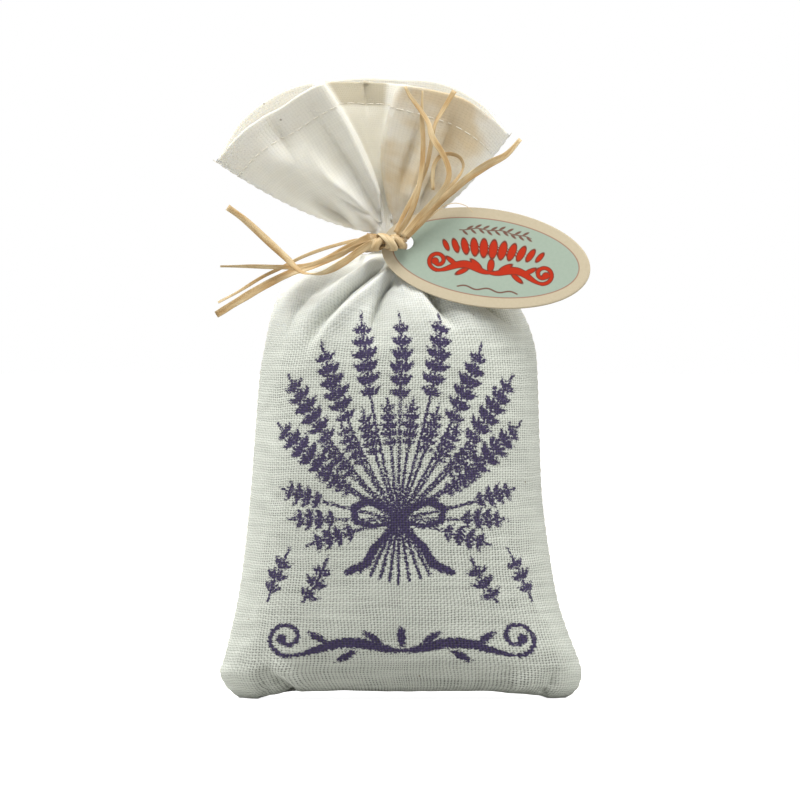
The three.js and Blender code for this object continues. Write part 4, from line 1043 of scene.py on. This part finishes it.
def makeMuslin(name, printed):
    # grey-white over the dark buds, a painted shade, and creamy and smoother at the mouth, where
    # light shines in
    material, add, shader = newMaterial(name)
    uv = add("UVMap", uv_map="cloth")
    filled, openness, warmShade, mouth, hemValleyShade = (
        add("Attribute", attribute_name=kind)
        for kind in ("filled", "openness", "warmShade", "mouth", "hemValleyShade"))
    # the threads wander a little, and some are thicker than others
    wander = add("TexNoise", {"Vector": uv, "Scale": 26.0, "Detail": 3.0})
    lift = add("VectorMath", [wander.outputs[1], (0.5, 0.5, 0.5)], operation="SUBTRACT")
    moved = add("VectorMath", [lift, (0.006, 0.006, 0)], operation="MULTIPLY")
    place = add("VectorMath", [uv, moved], operation="ADD")
    pitches = (clothMap / muslin["warpPitch"], clothMap / muslin["weftPitch"], 1)
    counted = add("VectorMath", [place, pitches], operation="MULTIPLY")
    axes = add("SeparateXYZ", [counted]).outputs
    threads = []
    for axis, share in enumerate((muslin["warpShare"], muslin["weftShare"])):
        number = add("Math", [axes[axis]], operation="FLOOR")
        alongAxis = add("Math", [axes[1 - axis], 0.06], operation="MULTIPLY")
        seedVector = add("CombineXYZ", [number, alongAxis, 7.0 + axis])
        slub = add("TexNoise", {"Vector": seedVector, "Scale": 0.83, "Detail": 1.0})
        fraction = add("Math", [axes[axis]], operation="FRACT")
        centred = add("Math", [fraction, 0.5], operation="SUBTRACT")
        away = add("Math", [centred], operation="ABSOLUTE")
        thick = add("MapRange", {"Value": slub, "From Min": 0.3, "From Max": 0.7,
                    "To Min": share - muslin["slub"], "To Max": share + muslin["slub"]})
        bare = add("Math", [away, thick], operation="SUBTRACT")
        rounding = add("Math", [away, 2.0], operation="MULTIPLY")
        threads.append((number, bare, rounding))
    (warp, warpBare, warpRounding), (weft, weftBare, weftRounding) = threads
    # a hole shows where neither thread covers, and is taller than wide
    openBoth = add("Math", [warpBare, weftBare], operation="MINIMUM")
    hole = add("MapRange", {"Value": openBoth, "From Min": -0.05, "From Max": 0.08},
               interpolation_type="SMOOTHSTEP")
    # over and under: the warp is on top at every other crossing
    both = add("Math", [warp, weft], operation="ADD")
    parity = add("Math", [both, 2.0], operation="FLOORED_MODULO")
    top = add("Mix", {0: parity, 2: warpRounding, 3: weftRounding}, data_type="FLOAT")
    squared = add("Math", [top.outputs[0], 2.0], operation="POWER")
    crown = add("Math", [1.0, squared], operation="SUBTRACT")
    height = add("Math", [crown, hole], operation="SUBTRACT")
    # the mouth is pressed smooth, so its threads show less
    showing = add("MapRange", {"Value": filled, "To Min": 0.2})
    tone = add("TexNoise", {"Vector": uv, "Scale": 9.0, "Detail": 4.0})
    creamy = add("ValToRGB", [tone], [(0.35, 0xDBD8CC), (0.65, 0xE3E1D8)])
    # painted warm shade: the right of the mouth, in shadow and lit through from behind, is painted
    # browner, in patches
    blotches = add("TexNoise", {"Vector": uv, "Scale": 17.0, "Detail": 3.0})
    patchy = add("MapRange", {"Value": blotches, "From Min": 0.42, "From Max": 0.58,
                 "To Min": 0.3, "To Max": 1.2})
    warmShaded = add("Math", [warmShade, patchy], operation="MULTIPLY")
    creamWithWarmShade = add("Mix", {0: warmShaded, 6: creamy, 7: colour(0xCBB998)}, data_type="RGBA")
    # painted highlight: the shoulder's threads are paler than the body's below, for the top light on
    # its upturned slope; the body's are painted greyer for the dark buds behind them
    pale = add("Mix", {0: mouth, 6: colour(0xDEDFD8), 7: creamWithWarmShade}, data_type="RGBA")
    thread = add("Mix", {0: filled, 6: pale, 7: colour(0xC6C9BF)}, data_type="RGBA")
    slubShade = add("MapRange", {"Value": slub, "From Min": 0.25, "From Max": 0.75,
                    "To Min": 0.9, "To Max": 1.06})
    # painted shade of the weave: each thread is darker where it rounds down under the next one
    crownShade = add("MapRange", {"Value": crown, "To Min": 0.72, "To Max": 1.06})
    shade = add("Math", [slubShade, crownShade], operation="MULTIPLY")
    result = add("Mix", {0: showing, 6: thread, 7: add("CombineColor", [shade] * 3)},
                 data_type="RGBA", blend_type="MULTIPLY")
    if printed:
        # screen print: the ink lies on the threads, and is patchy where they are low
        ink = add("Attribute", attribute_name="ink")
        rough = add("TexNoise", {"Vector": counted, "Scale": 1.1, "Detail": 2.0})
        ragged = add("MapRange", {"Value": rough, "From Min": 0.25, "From Max": 0.75,
                     "To Min": -0.42, "To Max": 0.42})
        edge = add("Math", [ink, ragged], operation="ADD")
        low = add("MapRange", {"Value": crown, "To Min": 0.22, "To Max": -0.05})
        edgeLow = add("Math", [edge, low], operation="ADD")
        cover = add("MapRange", {"Value": edgeLow, "From Min": 0.12, "From Max": -0.12,
                    "To Min": 0.0, "To Max": 0.96}, interpolation_type="SMOOTHSTEP")
        inkTone = add("ValToRGB", [rough], [(0.3, 0x1F1537), (0.72, 0x3A2B5C)])
        result = add("Mix", {0: cover, 6: result, 7: inkTone}, data_type="RGBA")
    # painted shade: the hem's two layers, and the valley's cloth, are darker where less light comes
    # through
    hemShadeCover = add("Math", [hemValleyShade, 0.8], operation="MULTIPLY")
    # the holes are painted dark on the body, for the dark buds and the shade inside the bag; at the
    # mouth light comes through
    holeDark = add("MapRange", {"Value": filled, "To Min": 0.22, "To Max": 0.95})
    holeOpen = add("Math", [hole, openness], operation="MULTIPLY")
    holeCover = add("Math", [holeOpen, holeDark], operation="MULTIPLY")
    # a few brown flecks of cotton husk
    flecks = add("TexVoronoi", {"Vector": uv, "Scale": 34.0, "Randomness": 1.0})
    small = add("Math", [flecks, 0.045], operation="LESS_THAN")
    chosen = add("SeparateColor", [flecks.outputs["Color"]])
    rare = add("Math", [chosen, 0.8], operation="GREATER_THAN")
    fleck = add("Math", [small, rare], operation="MULTIPLY")
    fleckCover = add("Math", [fleck, 0.6], operation="MULTIPLY")
    for cover, tint in ((hemShadeCover, 0xA99F86), (holeCover, 0x46463F), (fleckCover, 0x6E5A41)):
        result = add("Mix", {0: cover, 6: result, 7: colour(tint)}, data_type="RGBA")
    # light comes through the single cloth of the mouth, and not through the filled body
    through = add("MapRange", {"Value": filled, "To Min": 0.3, "To Max": 0.0})
    fuzz = add("TexNoise", {"Vector": counted, "Scale": 2.4, "Detail": 3.0})
    fuzzy = add("Math", [fuzz, 0.35, height], operation="MULTIPLY_ADD")
    relief = add("Math", [fuzzy, showing], operation="MULTIPLY")
    bump = add("Bump", {"Height": relief, "Strength": 0.6, "Distance": muslin["weave"] * mm})
    feed(shader, {"Base Color": result, "Roughness": 0.92, "Specular IOR Level": 0.2,
         "Sheen Weight": 0.06, "Subsurface Weight": through,
         "Subsurface Radius": (1.0, 0.85, 0.6), "Subsurface Scale": 1.5 * mm, "Normal": bump})
    return material


# Where the look of the cloth changes: heights and widths in mm, or shares of the way to a seam
zones = dict(filled=(84, 110), mouth=(108, 118), nearSeam=(0.62, 0.88), shoulder=(98, 112),
             upper=(76, 98), warmShade=(0.42, 0.58), warmShadeEnd=(0.86, 1.0), valleyLeft=(-5, -3),
             valleyRight=(12, 14), overTie=(114, 122))
# how much the weave's holes are closed in each place: near the seams, where the threads hide them
# seen side-on, and on the shoulder and upper body, a painted lightening where the top light falls
closing = dict(nearSeam=0.9, shoulder=0.85, upper=0.7)
# how strong each painted shade is: the warm shade on the right of the mouth, the hem's shade outside
# the valley, and the shade of the valley's cloth
tints = dict(warmShade=0.75, hem=0.06, valley=0.34)


def zone(values, name):
    return between(values, *zones[name])


panels = [panelGrid(-1), panelGrid(1)]
settleCloth([panels[0][0], panels[1][0]])
for name, node, facing, (grid, along, acrossCloth) in (
        ("muslin_front", "front_panel", -1, panels[0]),
        ("muslin_back", "back_panel", 1, panels[1])):
    points, faces, uvs = sheetMesh(grid, along, acrossCloth, facing)
    panel = meshObject(name, points * mm, faces, uvs, makeMuslin(name + "_cloth", facing < 0))
    z = points[:, 2]
    across = np.tile(acrossCloth, len(along)) / acrossCloth.max() * -facing
    spread = np.abs(np.concatenate([across] * 2))
    # each is a number at every point, read by the cloth's material
    looks = dict(filled=1 - zone(z, "filled"), mouth=zone(z, "mouth"), warmShade=0 * z)
    looks["openness"] = 1
    for place, share in closing.items():
        looks["openness"] *= 1 - share * zone(spread if place == "nearSeam" else z, place)
    fromRim = np.repeat(along[-1] - along, len(acrossCloth))
    inValley = 0
    if facing < 0:
        # a painted warm shade over the right of the mouth's cloth
        warmShade = zone(across, "warmShade") * (1 - zone(across, "warmShadeEnd")) * tints["warmShade"]
        looks["warmShade"] = np.concatenate([warmShade] * 2)
        inValley = np.tile(zone(acrossCloth, "valleyLeft") * (1 - zone(acrossCloth, "valleyRight")),
                           len(along))
        distance = printDistance(*np.meshgrid(acrossCloth, along)).ravel()
        looks["ink"] = np.concatenate([distance, np.full_like(distance, farFromInk)])
    # painted shade in the hem, where less light comes through two layers, and most of all in the
    # valley
    hemValleyShade = (1 - between(fromRim, bag["hemDepth"] - 0.3, bag["hemDepth"] + 0.1)) \
        * (tints["hem"] + (1 - tints["hem"]) * inValley)
    # painted shade: the valley's cloth lies on the back's, so it lets less light through, and is
    # painted darker
    valleyShade = inValley * between(fromRim, 0, 1) * zone(z[:len(fromRim)], "overTie")
    looks["hemValleyShade"] = np.concatenate([np.maximum(hemValleyShade, tints["valley"] * valleyShade)] * 2)
    for kind, values in looks.items():
        addAttribute(panel, kind, values)
    fixNormals(panel)
    dress(panel, "bag", node)
frontGrid, backGrid = panels[0][0], panels[1][0]
print("cloth panels made")


# The tag: an oval of coated card, printed pale green with a buff border

card = dict(length=52.2, width=25.9, thickness=0.5, hole=1.95, inset=6.9, rise=1.3, slack=1.1,
            rings=96, spokes=400, border=2.8, bow=0.25, edge=0.55)
tilt = math.radians(-tie["tilt"])
cardAcross = np.array([math.cos(tilt), 0, 0]) + math.sin(tilt) * leanUp
cardUp = np.array([-math.sin(tilt), 0, 0]) + math.cos(tilt) * leanUp
cardMiddle = (card["slack"] + card["length"] / 2 - card["inset"], -card["rise"])


def cardInk(x, y):
    # distances to the red scroll and to the small dark sprig, from the card's middle, in mm
    red, leaf = np.full_like(x, farFromInk), np.full_like(x, farFromInk)
    drawScroll(x, y, red, (1.5, -2.4), 13.2, 2.5, 0.72, 2.2)
    # a row of red leaves over it, small to large and back
    for k in range(11):
        away = (k - 5) / 5
        size = 2.3 - 1.0 * away * away
        np.minimum(red, leafOutline(x, y, (1.5 + 2.35 * (k - 5), 1.9 + 0.5 * (1 - away * away)),
                   math.pi / 2 - 0.55 * away, size, size * 0.4), out=red)
    stem = [(1.5 + t, 7.4 - 0.012 * t * t + 0.2 * math.sin(t)) for t in np.linspace(-9, 9, 19)]
    drawCurve(x, y, leaf, stem, [0.13] * 19)
    for k, (px, py) in enumerate(stem[1:-1]):
        above = 1 if k % 2 else -1
        np.minimum(leaf, leafOutline(x, y, (px + 0.5, py + above * 0.62), above * 0.6, 0.95,
                   0.3), out=leaf)
    wave = [(1.5 + t, -8.3 + 0.35 * math.cos(t * 1.1)) for t in np.linspace(-7.5, 7.5, 30)]
    drawCurve(x, y, leaf, wave, [0.2] * 30)
    return red, leaf


def makeCardMaterial():
    # smooth coated card: fibres mottle both colours faintly, and the inks have sharp edges
    material, add, shader = newMaterial("coatedCard")
    border, red, leaf = (add("Attribute", attribute_name=kind)
                         for kind in ("border", "red", "leaf"))
    uv = add("UVMap", uv_map="cloth")
    fibres = add("TexNoise", {"Vector": uv, "Scale": 1.2, "Detail": 5.0, "Roughness": 0.65})
    green = add("ValToRGB", [fibres], [(0.3, 0x94A293), (0.7, 0x99A697)])
    buff = add("ValToRGB", [fibres], [(0.3, 0xB4A88E), (0.7, 0xBAAE95)])
    outside = add("MapRange", {"Value": border, "From Min": -0.06, "From Max": 0.06})
    result = add("Mix", {0: outside, 6: green, 7: buff}, data_type="RGBA")
    away = add("Math", [border], operation="ABSOLUTE")
    ruled = add("MapRange", {"Value": away, "From Min": 0.2, "From Max": 0.08, "To Max": 0.75})
    inks = [(ruled, 0x8E5A4A)]
    # the red is printed twice: a dark edge first, then its colour a little inside it
    for source, reach, tint in ((leaf, 0.0, 0x6A4B40), (red, 0.2, 0x6C2A1C), (red, 0.0, 0xA8280A)):
        sharp = add("MapRange", {"Value": source, "From Min": reach + 0.07,
                    "From Max": reach - 0.07})
        inks.append((sharp, tint))
    for cover, tint in inks:
        result = add("Mix", {0: cover, 6: result, 7: colour(tint)}, data_type="RGBA")
    bump = add("Bump", {"Height": fibres, "Strength": 0.08, "Distance": 0.05 * mm})
    feed(shader, {"Base Color": result, "Roughness": 0.7, "Specular IOR Level": 0.15,
         "Normal": bump})
    return material


def makeTag():
    angles = np.linspace(0, 2 * np.pi, card["spokes"], endpoint=False)
    # spokes leave the hole evenly and reach the rim where they point
    rim = np.stack([cardMiddle[0] + card["length"] / 2 * np.cos(angles),
                    cardMiddle[1] + card["width"] / 2 * np.sin(angles)], 1)
    heading = np.arctan2(rim[:, 1], rim[:, 0])
    hole = card["hole"] * np.stack([np.cos(heading), np.sin(heading)], 1)
    shares = np.linspace(0, 1, card["rings"] + 1)[:, None, None]
    flat = (1 - shares) * hole + shares * rim
    rings, spokes = flat.shape[:2]
    x, y = flat[:, :, 0], flat[:, :, 1]
    bow = card["bow"] * np.cos((x - cardMiddle[0]) / card["length"] * np.pi)
    half = card["thickness"] / 2
    # the card is thinner at its hole and at its rim
    atEdge = (np.arange(rings) == 0) | (np.arange(rings) == rings - 1)
    soft = np.where(atEdge, card["edge"], 1.0)[:, None]
    sheets = []
    for face in (1, -1):
        out = face * half * soft + bow
        sheets.append(pivot + x[:, :, None] * cardAcross + y[:, :, None] * cardUp
                      + out[:, :, None] * leanOut)
    points = np.concatenate([s.reshape(-1, 3) for s in sheets])
    size = rings * spokes
    quads = ringQuads(rings, spokes)
    faces = quads + [tuple(size + v for v in reversed(quad)) for quad in quads]
    for ring in (0, rings - 1):
        for k in range(spokes):
            here, beyond = ring * spokes + k, ring * spokes + (k + 1) % spokes
            faces.append((here, beyond, size + beyond, size + here))
    uvs = np.concatenate([flat.reshape(-1, 2)] * 2)
    tag = meshObject("card_tag", points * mm, faces, uvs, makeCardMaterial())
    # how far each place is outside the panel's edge, on its front alone
    ox, oy = x - cardMiddle[0], y - cardMiddle[1]
    halfLength, halfWidth = card["length"] / 2 - card["border"], card["width"] / 2 - card["border"]
    ringShare = np.hypot(ox / halfLength, oy / halfWidth)
    slope = np.hypot(ox / halfLength**2, oy / halfWidth**2) / np.maximum(ringShare, 1e-6)
    red, leaf = cardInk(ox, oy)
    for kind, values in (("border", (ringShare - 1) / np.maximum(slope, 1e-6)), ("red", red),
                         ("leaf", leaf)):
        addAttribute(tag, kind, np.concatenate([values.ravel(), np.full(size, farFromInk)]))
    fixNormals(tag)
    dress(tag, "tag", "hang_tag")


makeTag()
print("tag made")


# Sewing: one tree lays short cotton stitches along a seam

sewing = dict(thread=0.24, bow=0.12, hemPitch=2.6, hemStitch=1.8, seamPitch=2.4, seamStitch=1.7,
              lowRow=6, corner=6, hemCorner=2, behind=0.3, under=1.5)


def makeThread():
    # dull white cotton with a faint twist: two plies turned about twice to the millimetre
    material, add, shader = newMaterial("cottonSewingThread")
    place = add("TexCoord").outputs["Object"]
    ply = add("TexNoise", {"Vector": place, "Scale": 2600.0, "Detail": 2.0})
    tone = add("ValToRGB", [ply], [(0.35, 0xD3CCB8), (0.65, 0xECE7DA)])
    bump = add("Bump", {"Height": ply, "Strength": 0.4, "Distance": 0.04 * mm})
    feed(shader, {"Base Color": tone, "Roughness": 0.75, "Sheen Weight": 0.2, "Normal": bump})
    return material


def newTree(name, inputs):
    # a Geometry Nodes tree with its named inputs
    tree = bpy.data.node_groups.new(name, "GeometryNodeTree")
    tree.interface.new_socket("Geometry", in_out="INPUT", socket_type="NodeSocketGeometry")
    for label, kind in inputs.items():
        tree.interface.new_socket(label, in_out="INPUT", socket_type="NodeSocket" + kind)
    tree.interface.new_socket("Geometry", in_out="OUTPUT", socket_type="NodeSocketGeometry")
    return tree, partial(addNode, tree), addNode(tree, "NodeGroupInput").outputs


def grown(name, source, tree, values):
    # the tree's result as a plain mesh of its own
    modifier = source.modifiers.new("grow", "NODES")
    modifier.node_group = tree
    for item in tree.interface.items_tree:
        if item.in_out == "INPUT" and item.name in values:
            modifier[item.identifier] = values[item.name]
    done = source.evaluated_get(bpy.context.evaluated_depsgraph_get())
    made = bpy.data.objects.new(name, bpy.data.meshes.new_from_object(done))
    made.data.name = name
    scene.collection.objects.link(made)
    source.modifiers.remove(modifier)
    bpy.data.objects.remove(source)
    return made


def stitchTree():
    tree, add, given = newTree("runningStitch", {
        "Pitch": "Float", "Stitch length": "Float", "Thread radius": "Float", "Bow": "Float",
        "Lean": "Float", "Seed": "Int", "Material": "Material"})
    path = add("GeometryNodeMeshToCurve", [given["Geometry"]])
    spots = add("GeometryNodeCurveToPoints", {"Curve": path, "Length": given["Pitch"]},
                mode="LENGTH")
    out = add("GeometryNodeInputNamedAttribute", {"Name": "out"}, data_type="FLOAT_VECTOR")
    ahead = add("FunctionNodeAlignRotationToVector", {"Vector": spots.outputs["Tangent"]},
                axis="Z")
    upright = add("FunctionNodeAlignRotationToVector", {"Rotation": ahead, "Vector": out},
                  axis="Y", pivot_axis="Z")
    wander = add("FunctionNodeRandomValue", {"Seed": given["Seed"], 2: -0.09, 3: 0.09})
    leaning = add("Math", [wander.outputs[1], given["Lean"]], operation="ADD")
    turned = add("FunctionNodeRotateRotation", {"Rotation": upright,
                 "Rotate By": add("CombineXYZ", {1: leaning})}, rotation_space="LOCAL")
    half = add("Math", [given["Stitch length"], 0.5], operation="MULTIPLY")
    back = add("Math", [half, -1.0], operation="MULTIPLY")
    dip = add("Math", [given["Bow"], -1.0], operation="MULTIPLY")
    arc = add("GeometryNodeCurveQuadraticBezier", {
        "Resolution": 5, "Start": add("CombineXYZ", {1: dip, 2: back}),
        "Middle": add("CombineXYZ", {1: given["Bow"]}), "End": add("CombineXYZ", {1: dip, 2: half})})
    ring = add("GeometryNodeCurvePrimitiveCircle", {"Resolution": 6,
               "Radius": given["Thread radius"]})
    stitch = add("GeometryNodeCurveToMesh", {"Curve": arc, "Profile Curve": ring,
                 "Fill Caps": True})
    placed = add("GeometryNodeInstanceOnPoints", {"Points": spots, "Instance": stitch,
                 "Rotation": turned})
    real = add("GeometryNodeRealizeInstances", [placed])
    painted = add("GeometryNodeSetMaterial", {"Geometry": real, "Material": given["Material"]})
    add("NodeGroupOutput", [painted])
    return tree


stitches = stitchTree()
threadMaterial = makeThread()


def sew(name, node, points, outs, pitch, length, lean, seed):
    points, outs = np.asarray(points, float), np.asarray(outs, float)
    path = meshObject("seamPath", (points + outs * sewing["thread"] * 0.1) * mm, [])
    path.data.edges.add(len(points) - 1)
    path.data.edges.foreach_set("vertices", np.stack([np.arange(len(points) - 1),
                                np.arange(1, len(points))], 1).ravel().astype(np.int32))
    direction = path.data.attributes.new("out", "FLOAT_VECTOR", "POINT")
    direction.data.foreach_set("vector", outs.astype(np.float32).ravel())
    done = grown(name, path, stitches, {"Pitch": pitch * mm, "Stitch length": length * mm,
                 "Thread radius": sewing["thread"] / 2 * mm, "Bow": sewing["bow"] * mm,
                 "Lean": lean, "Seed": seed, "Material": threadMaterial})
    done.data.polygons.foreach_set("use_smooth", [True] * len(done.data.polygons))
    dress(done, "bag", node)


frontNormals, backNormals = gridNormals(frontGrid, -1), gridNormals(backGrid, 1)
lowRow, corner, hemCorner = sewing["lowRow"], sewing["corner"], sewing["hemCorner"]
for name, node, column, seed in (("stitches_left", "left_seam_thread", 0, 1),
                                 ("stitches_right", "right_seam_thread", -1, 2)):
    middle = (frontGrid[lowRow:, column] + backGrid[lowRow:, column]) / 2
    sew(name, node, middle + [0, sewing["behind"], 0], frontNormals[lowRow:, column],
        sewing["seamPitch"], sewing["seamStitch"], 0.12, seed)
bottom = (frontGrid[0, corner:-corner] + backGrid[0, corner:-corner]) / 2
bottom[:, 2] += sewing["thread"] * sewing["under"]
sew("stitches_bottom", "bottom_seam_thread", bottom, np.tile([0, 0, -1.0], (len(bottom), 1)),
    sewing["seamPitch"], sewing["seamStitch"], 0.5, 3)
fromTop = panels[0][1][-1] - panels[0][1]
hemRow = int(np.argmin(np.abs(fromTop - bag["hemDepth"] + 0.5)))
hemLine, hemOuts = (np.concatenate([front[hemRow, hemCorner:-hemCorner],
                                    back[hemRow, hemCorner:-hemCorner][::-1]])
                    for front, back in ((frontGrid, backGrid), (frontNormals, backNormals)))
sew("stitches_hem", "hem_thread", hemLine, hemOuts, sewing["hemPitch"], sewing["hemStitch"],
    0.0, 4)
print("seams sewn")


# The filling: dried lavender buds heaped inside the cloth

filling = dict(rows=44, columns=64, bottom=6.0, top=96.0, inset=2.6, deeper=3.6,
               shoulder=(70, 88), baseInset=1.6, base=(8, 18), dome=2, density=0.11,
               budLength=3.6, budWidth=1.5)


def makeBudMaterial():
    # grey-violet calyxes about 3 mm long, each a little different, with fine down on them
    material, add, shader = newMaterial("driedLavenderBuds")
    place = add("TexCoord").outputs["Object"]
    tones = add("TexNoise", {"Vector": place, "Scale": 300.0, "Detail": 3.0})
    tint = add("ValToRGB", [tones], [(0.35, 0x4A4560), (0.65, 0x8C8AA0)])
    down = add("TexNoise", {"Vector": place, "Scale": 2400.0, "Detail": 2.0})
    bump = add("Bump", {"Height": down, "Strength": 0.4, "Distance": 0.1 * mm})
    feed(shader, {"Base Color": tint, "Roughness": 0.85, "Sheen Weight": 0.3, "Normal": bump})
    return material


def budTree():
    tree, add, given = newTree("scatteredBuds", {"Density": "Float", "Bud length": "Float",
                               "Bud width": "Float", "Seed": "Int", "Material": "Material"})
    spots = add("GeometryNodeDistributePointsOnFaces", {
        "Mesh": given["Geometry"], "Density": given["Density"], "Seed": given["Seed"]})
    ball = add("GeometryNodeMeshUVSphere", {"Segments": 7, "Rings": 5, "Radius": 0.5})
    size = add("CombineXYZ", [given["Bud length"], given["Bud width"], given["Bud width"]])
    bud = add("GeometryNodeTransform", {"Geometry": ball, "Scale": size})
    spin = add("FunctionNodeRandomValue", {"Seed": given["Seed"], 0: (-0.35, -0.35, -3.1),
               1: (0.35, 0.35, 3.1)}, data_type="FLOAT_VECTOR")
    turned = add("FunctionNodeRotateRotation", {"Rotation": spots.outputs["Rotation"],
                 "Rotate By": spin}, rotation_space="LOCAL")
    grow = add("FunctionNodeRandomValue", {"Seed": given["Seed"], 2: 0.75, 3: 1.15})
    placed = add("GeometryNodeInstanceOnPoints", {"Points": spots, "Instance": bud,
                 "Rotation": turned, "Scale": grow.outputs[1]})
    both = add("GeometryNodeJoinGeometry", [placed])
    feed(both, [given["Geometry"]])
    real = add("GeometryNodeRealizeInstances", [both])
    painted = add("GeometryNodeSetMaterial", {"Geometry": real, "Material": given["Material"]})
    add("NodeGroupOutput", [painted])
    return tree


def makeFilling():
    # a heap with the bag's own form, smaller all round and most of all under the creases
    turn = evenTurns(filling["columns"])[0][1:-1]
    heights = np.linspace(filling["bottom"], filling["top"], filling["rows"])
    places = np.interp(heights, sections[:, 0], sectionPlaces)
    rings = []
    for height, place in zip(heights, places):
        inset = filling["inset"] + filling["deeper"] * between(height, *filling["shoulder"]) \
            + filling["baseInset"] * (1 - between(height, *filling["base"]))
        halves = [bodyPoints([place], turn, facing)[0] for facing in (-1, 1)]
        centre = (halves[0][0, 0] + halves[0][-1, 0]) / 2
        for half in halves:
            wide, deep = np.abs(half[:, 0] - centre).max(), np.abs(half[:, 1]).max()
            half[:, 0] = centre + (half[:, 0] - centre) * (1 - inset / wide)
            half[:, 1] *= 1 - inset / deep
            half[:, 2] = height
        rings.append(np.concatenate([halves[0], halves[1][::-1]]))
    size, count = len(rings[0]), len(rings)
    crown = rings[-1].mean(0)[None] + [0, 0, filling["dome"]]
    points = np.concatenate(rings + [rings[0].mean(0)[None], crown])
    faces = []
    for i in range(count - 1):
        for k in range(size):
            n = (k + 1) % size
            faces.append((i * size + k, i * size + n, (i + 1) * size + n, (i + 1) * size + k))
    for k in range(size):
        n = (k + 1) % size
        faces.append((count * size, n, k))
        faces.append((count * size + 1, (count - 1) * size + k, (count - 1) * size + n))
    heap = meshObject("heap", points * mm, faces)
    fixNormals(heap)
    done = grown("lavender_buds", heap, budTree(), {"Density": filling["density"] / mm**2,
                 "Bud length": filling["budLength"] * mm, "Bud width": filling["budWidth"] * mm,
                 "Seed": 5, "Material": makeBudMaterial()})
    dress(done, "bag", "lavender_filling")
    print("filling made,", len(done.data.polygons), "faces")


makeFilling()
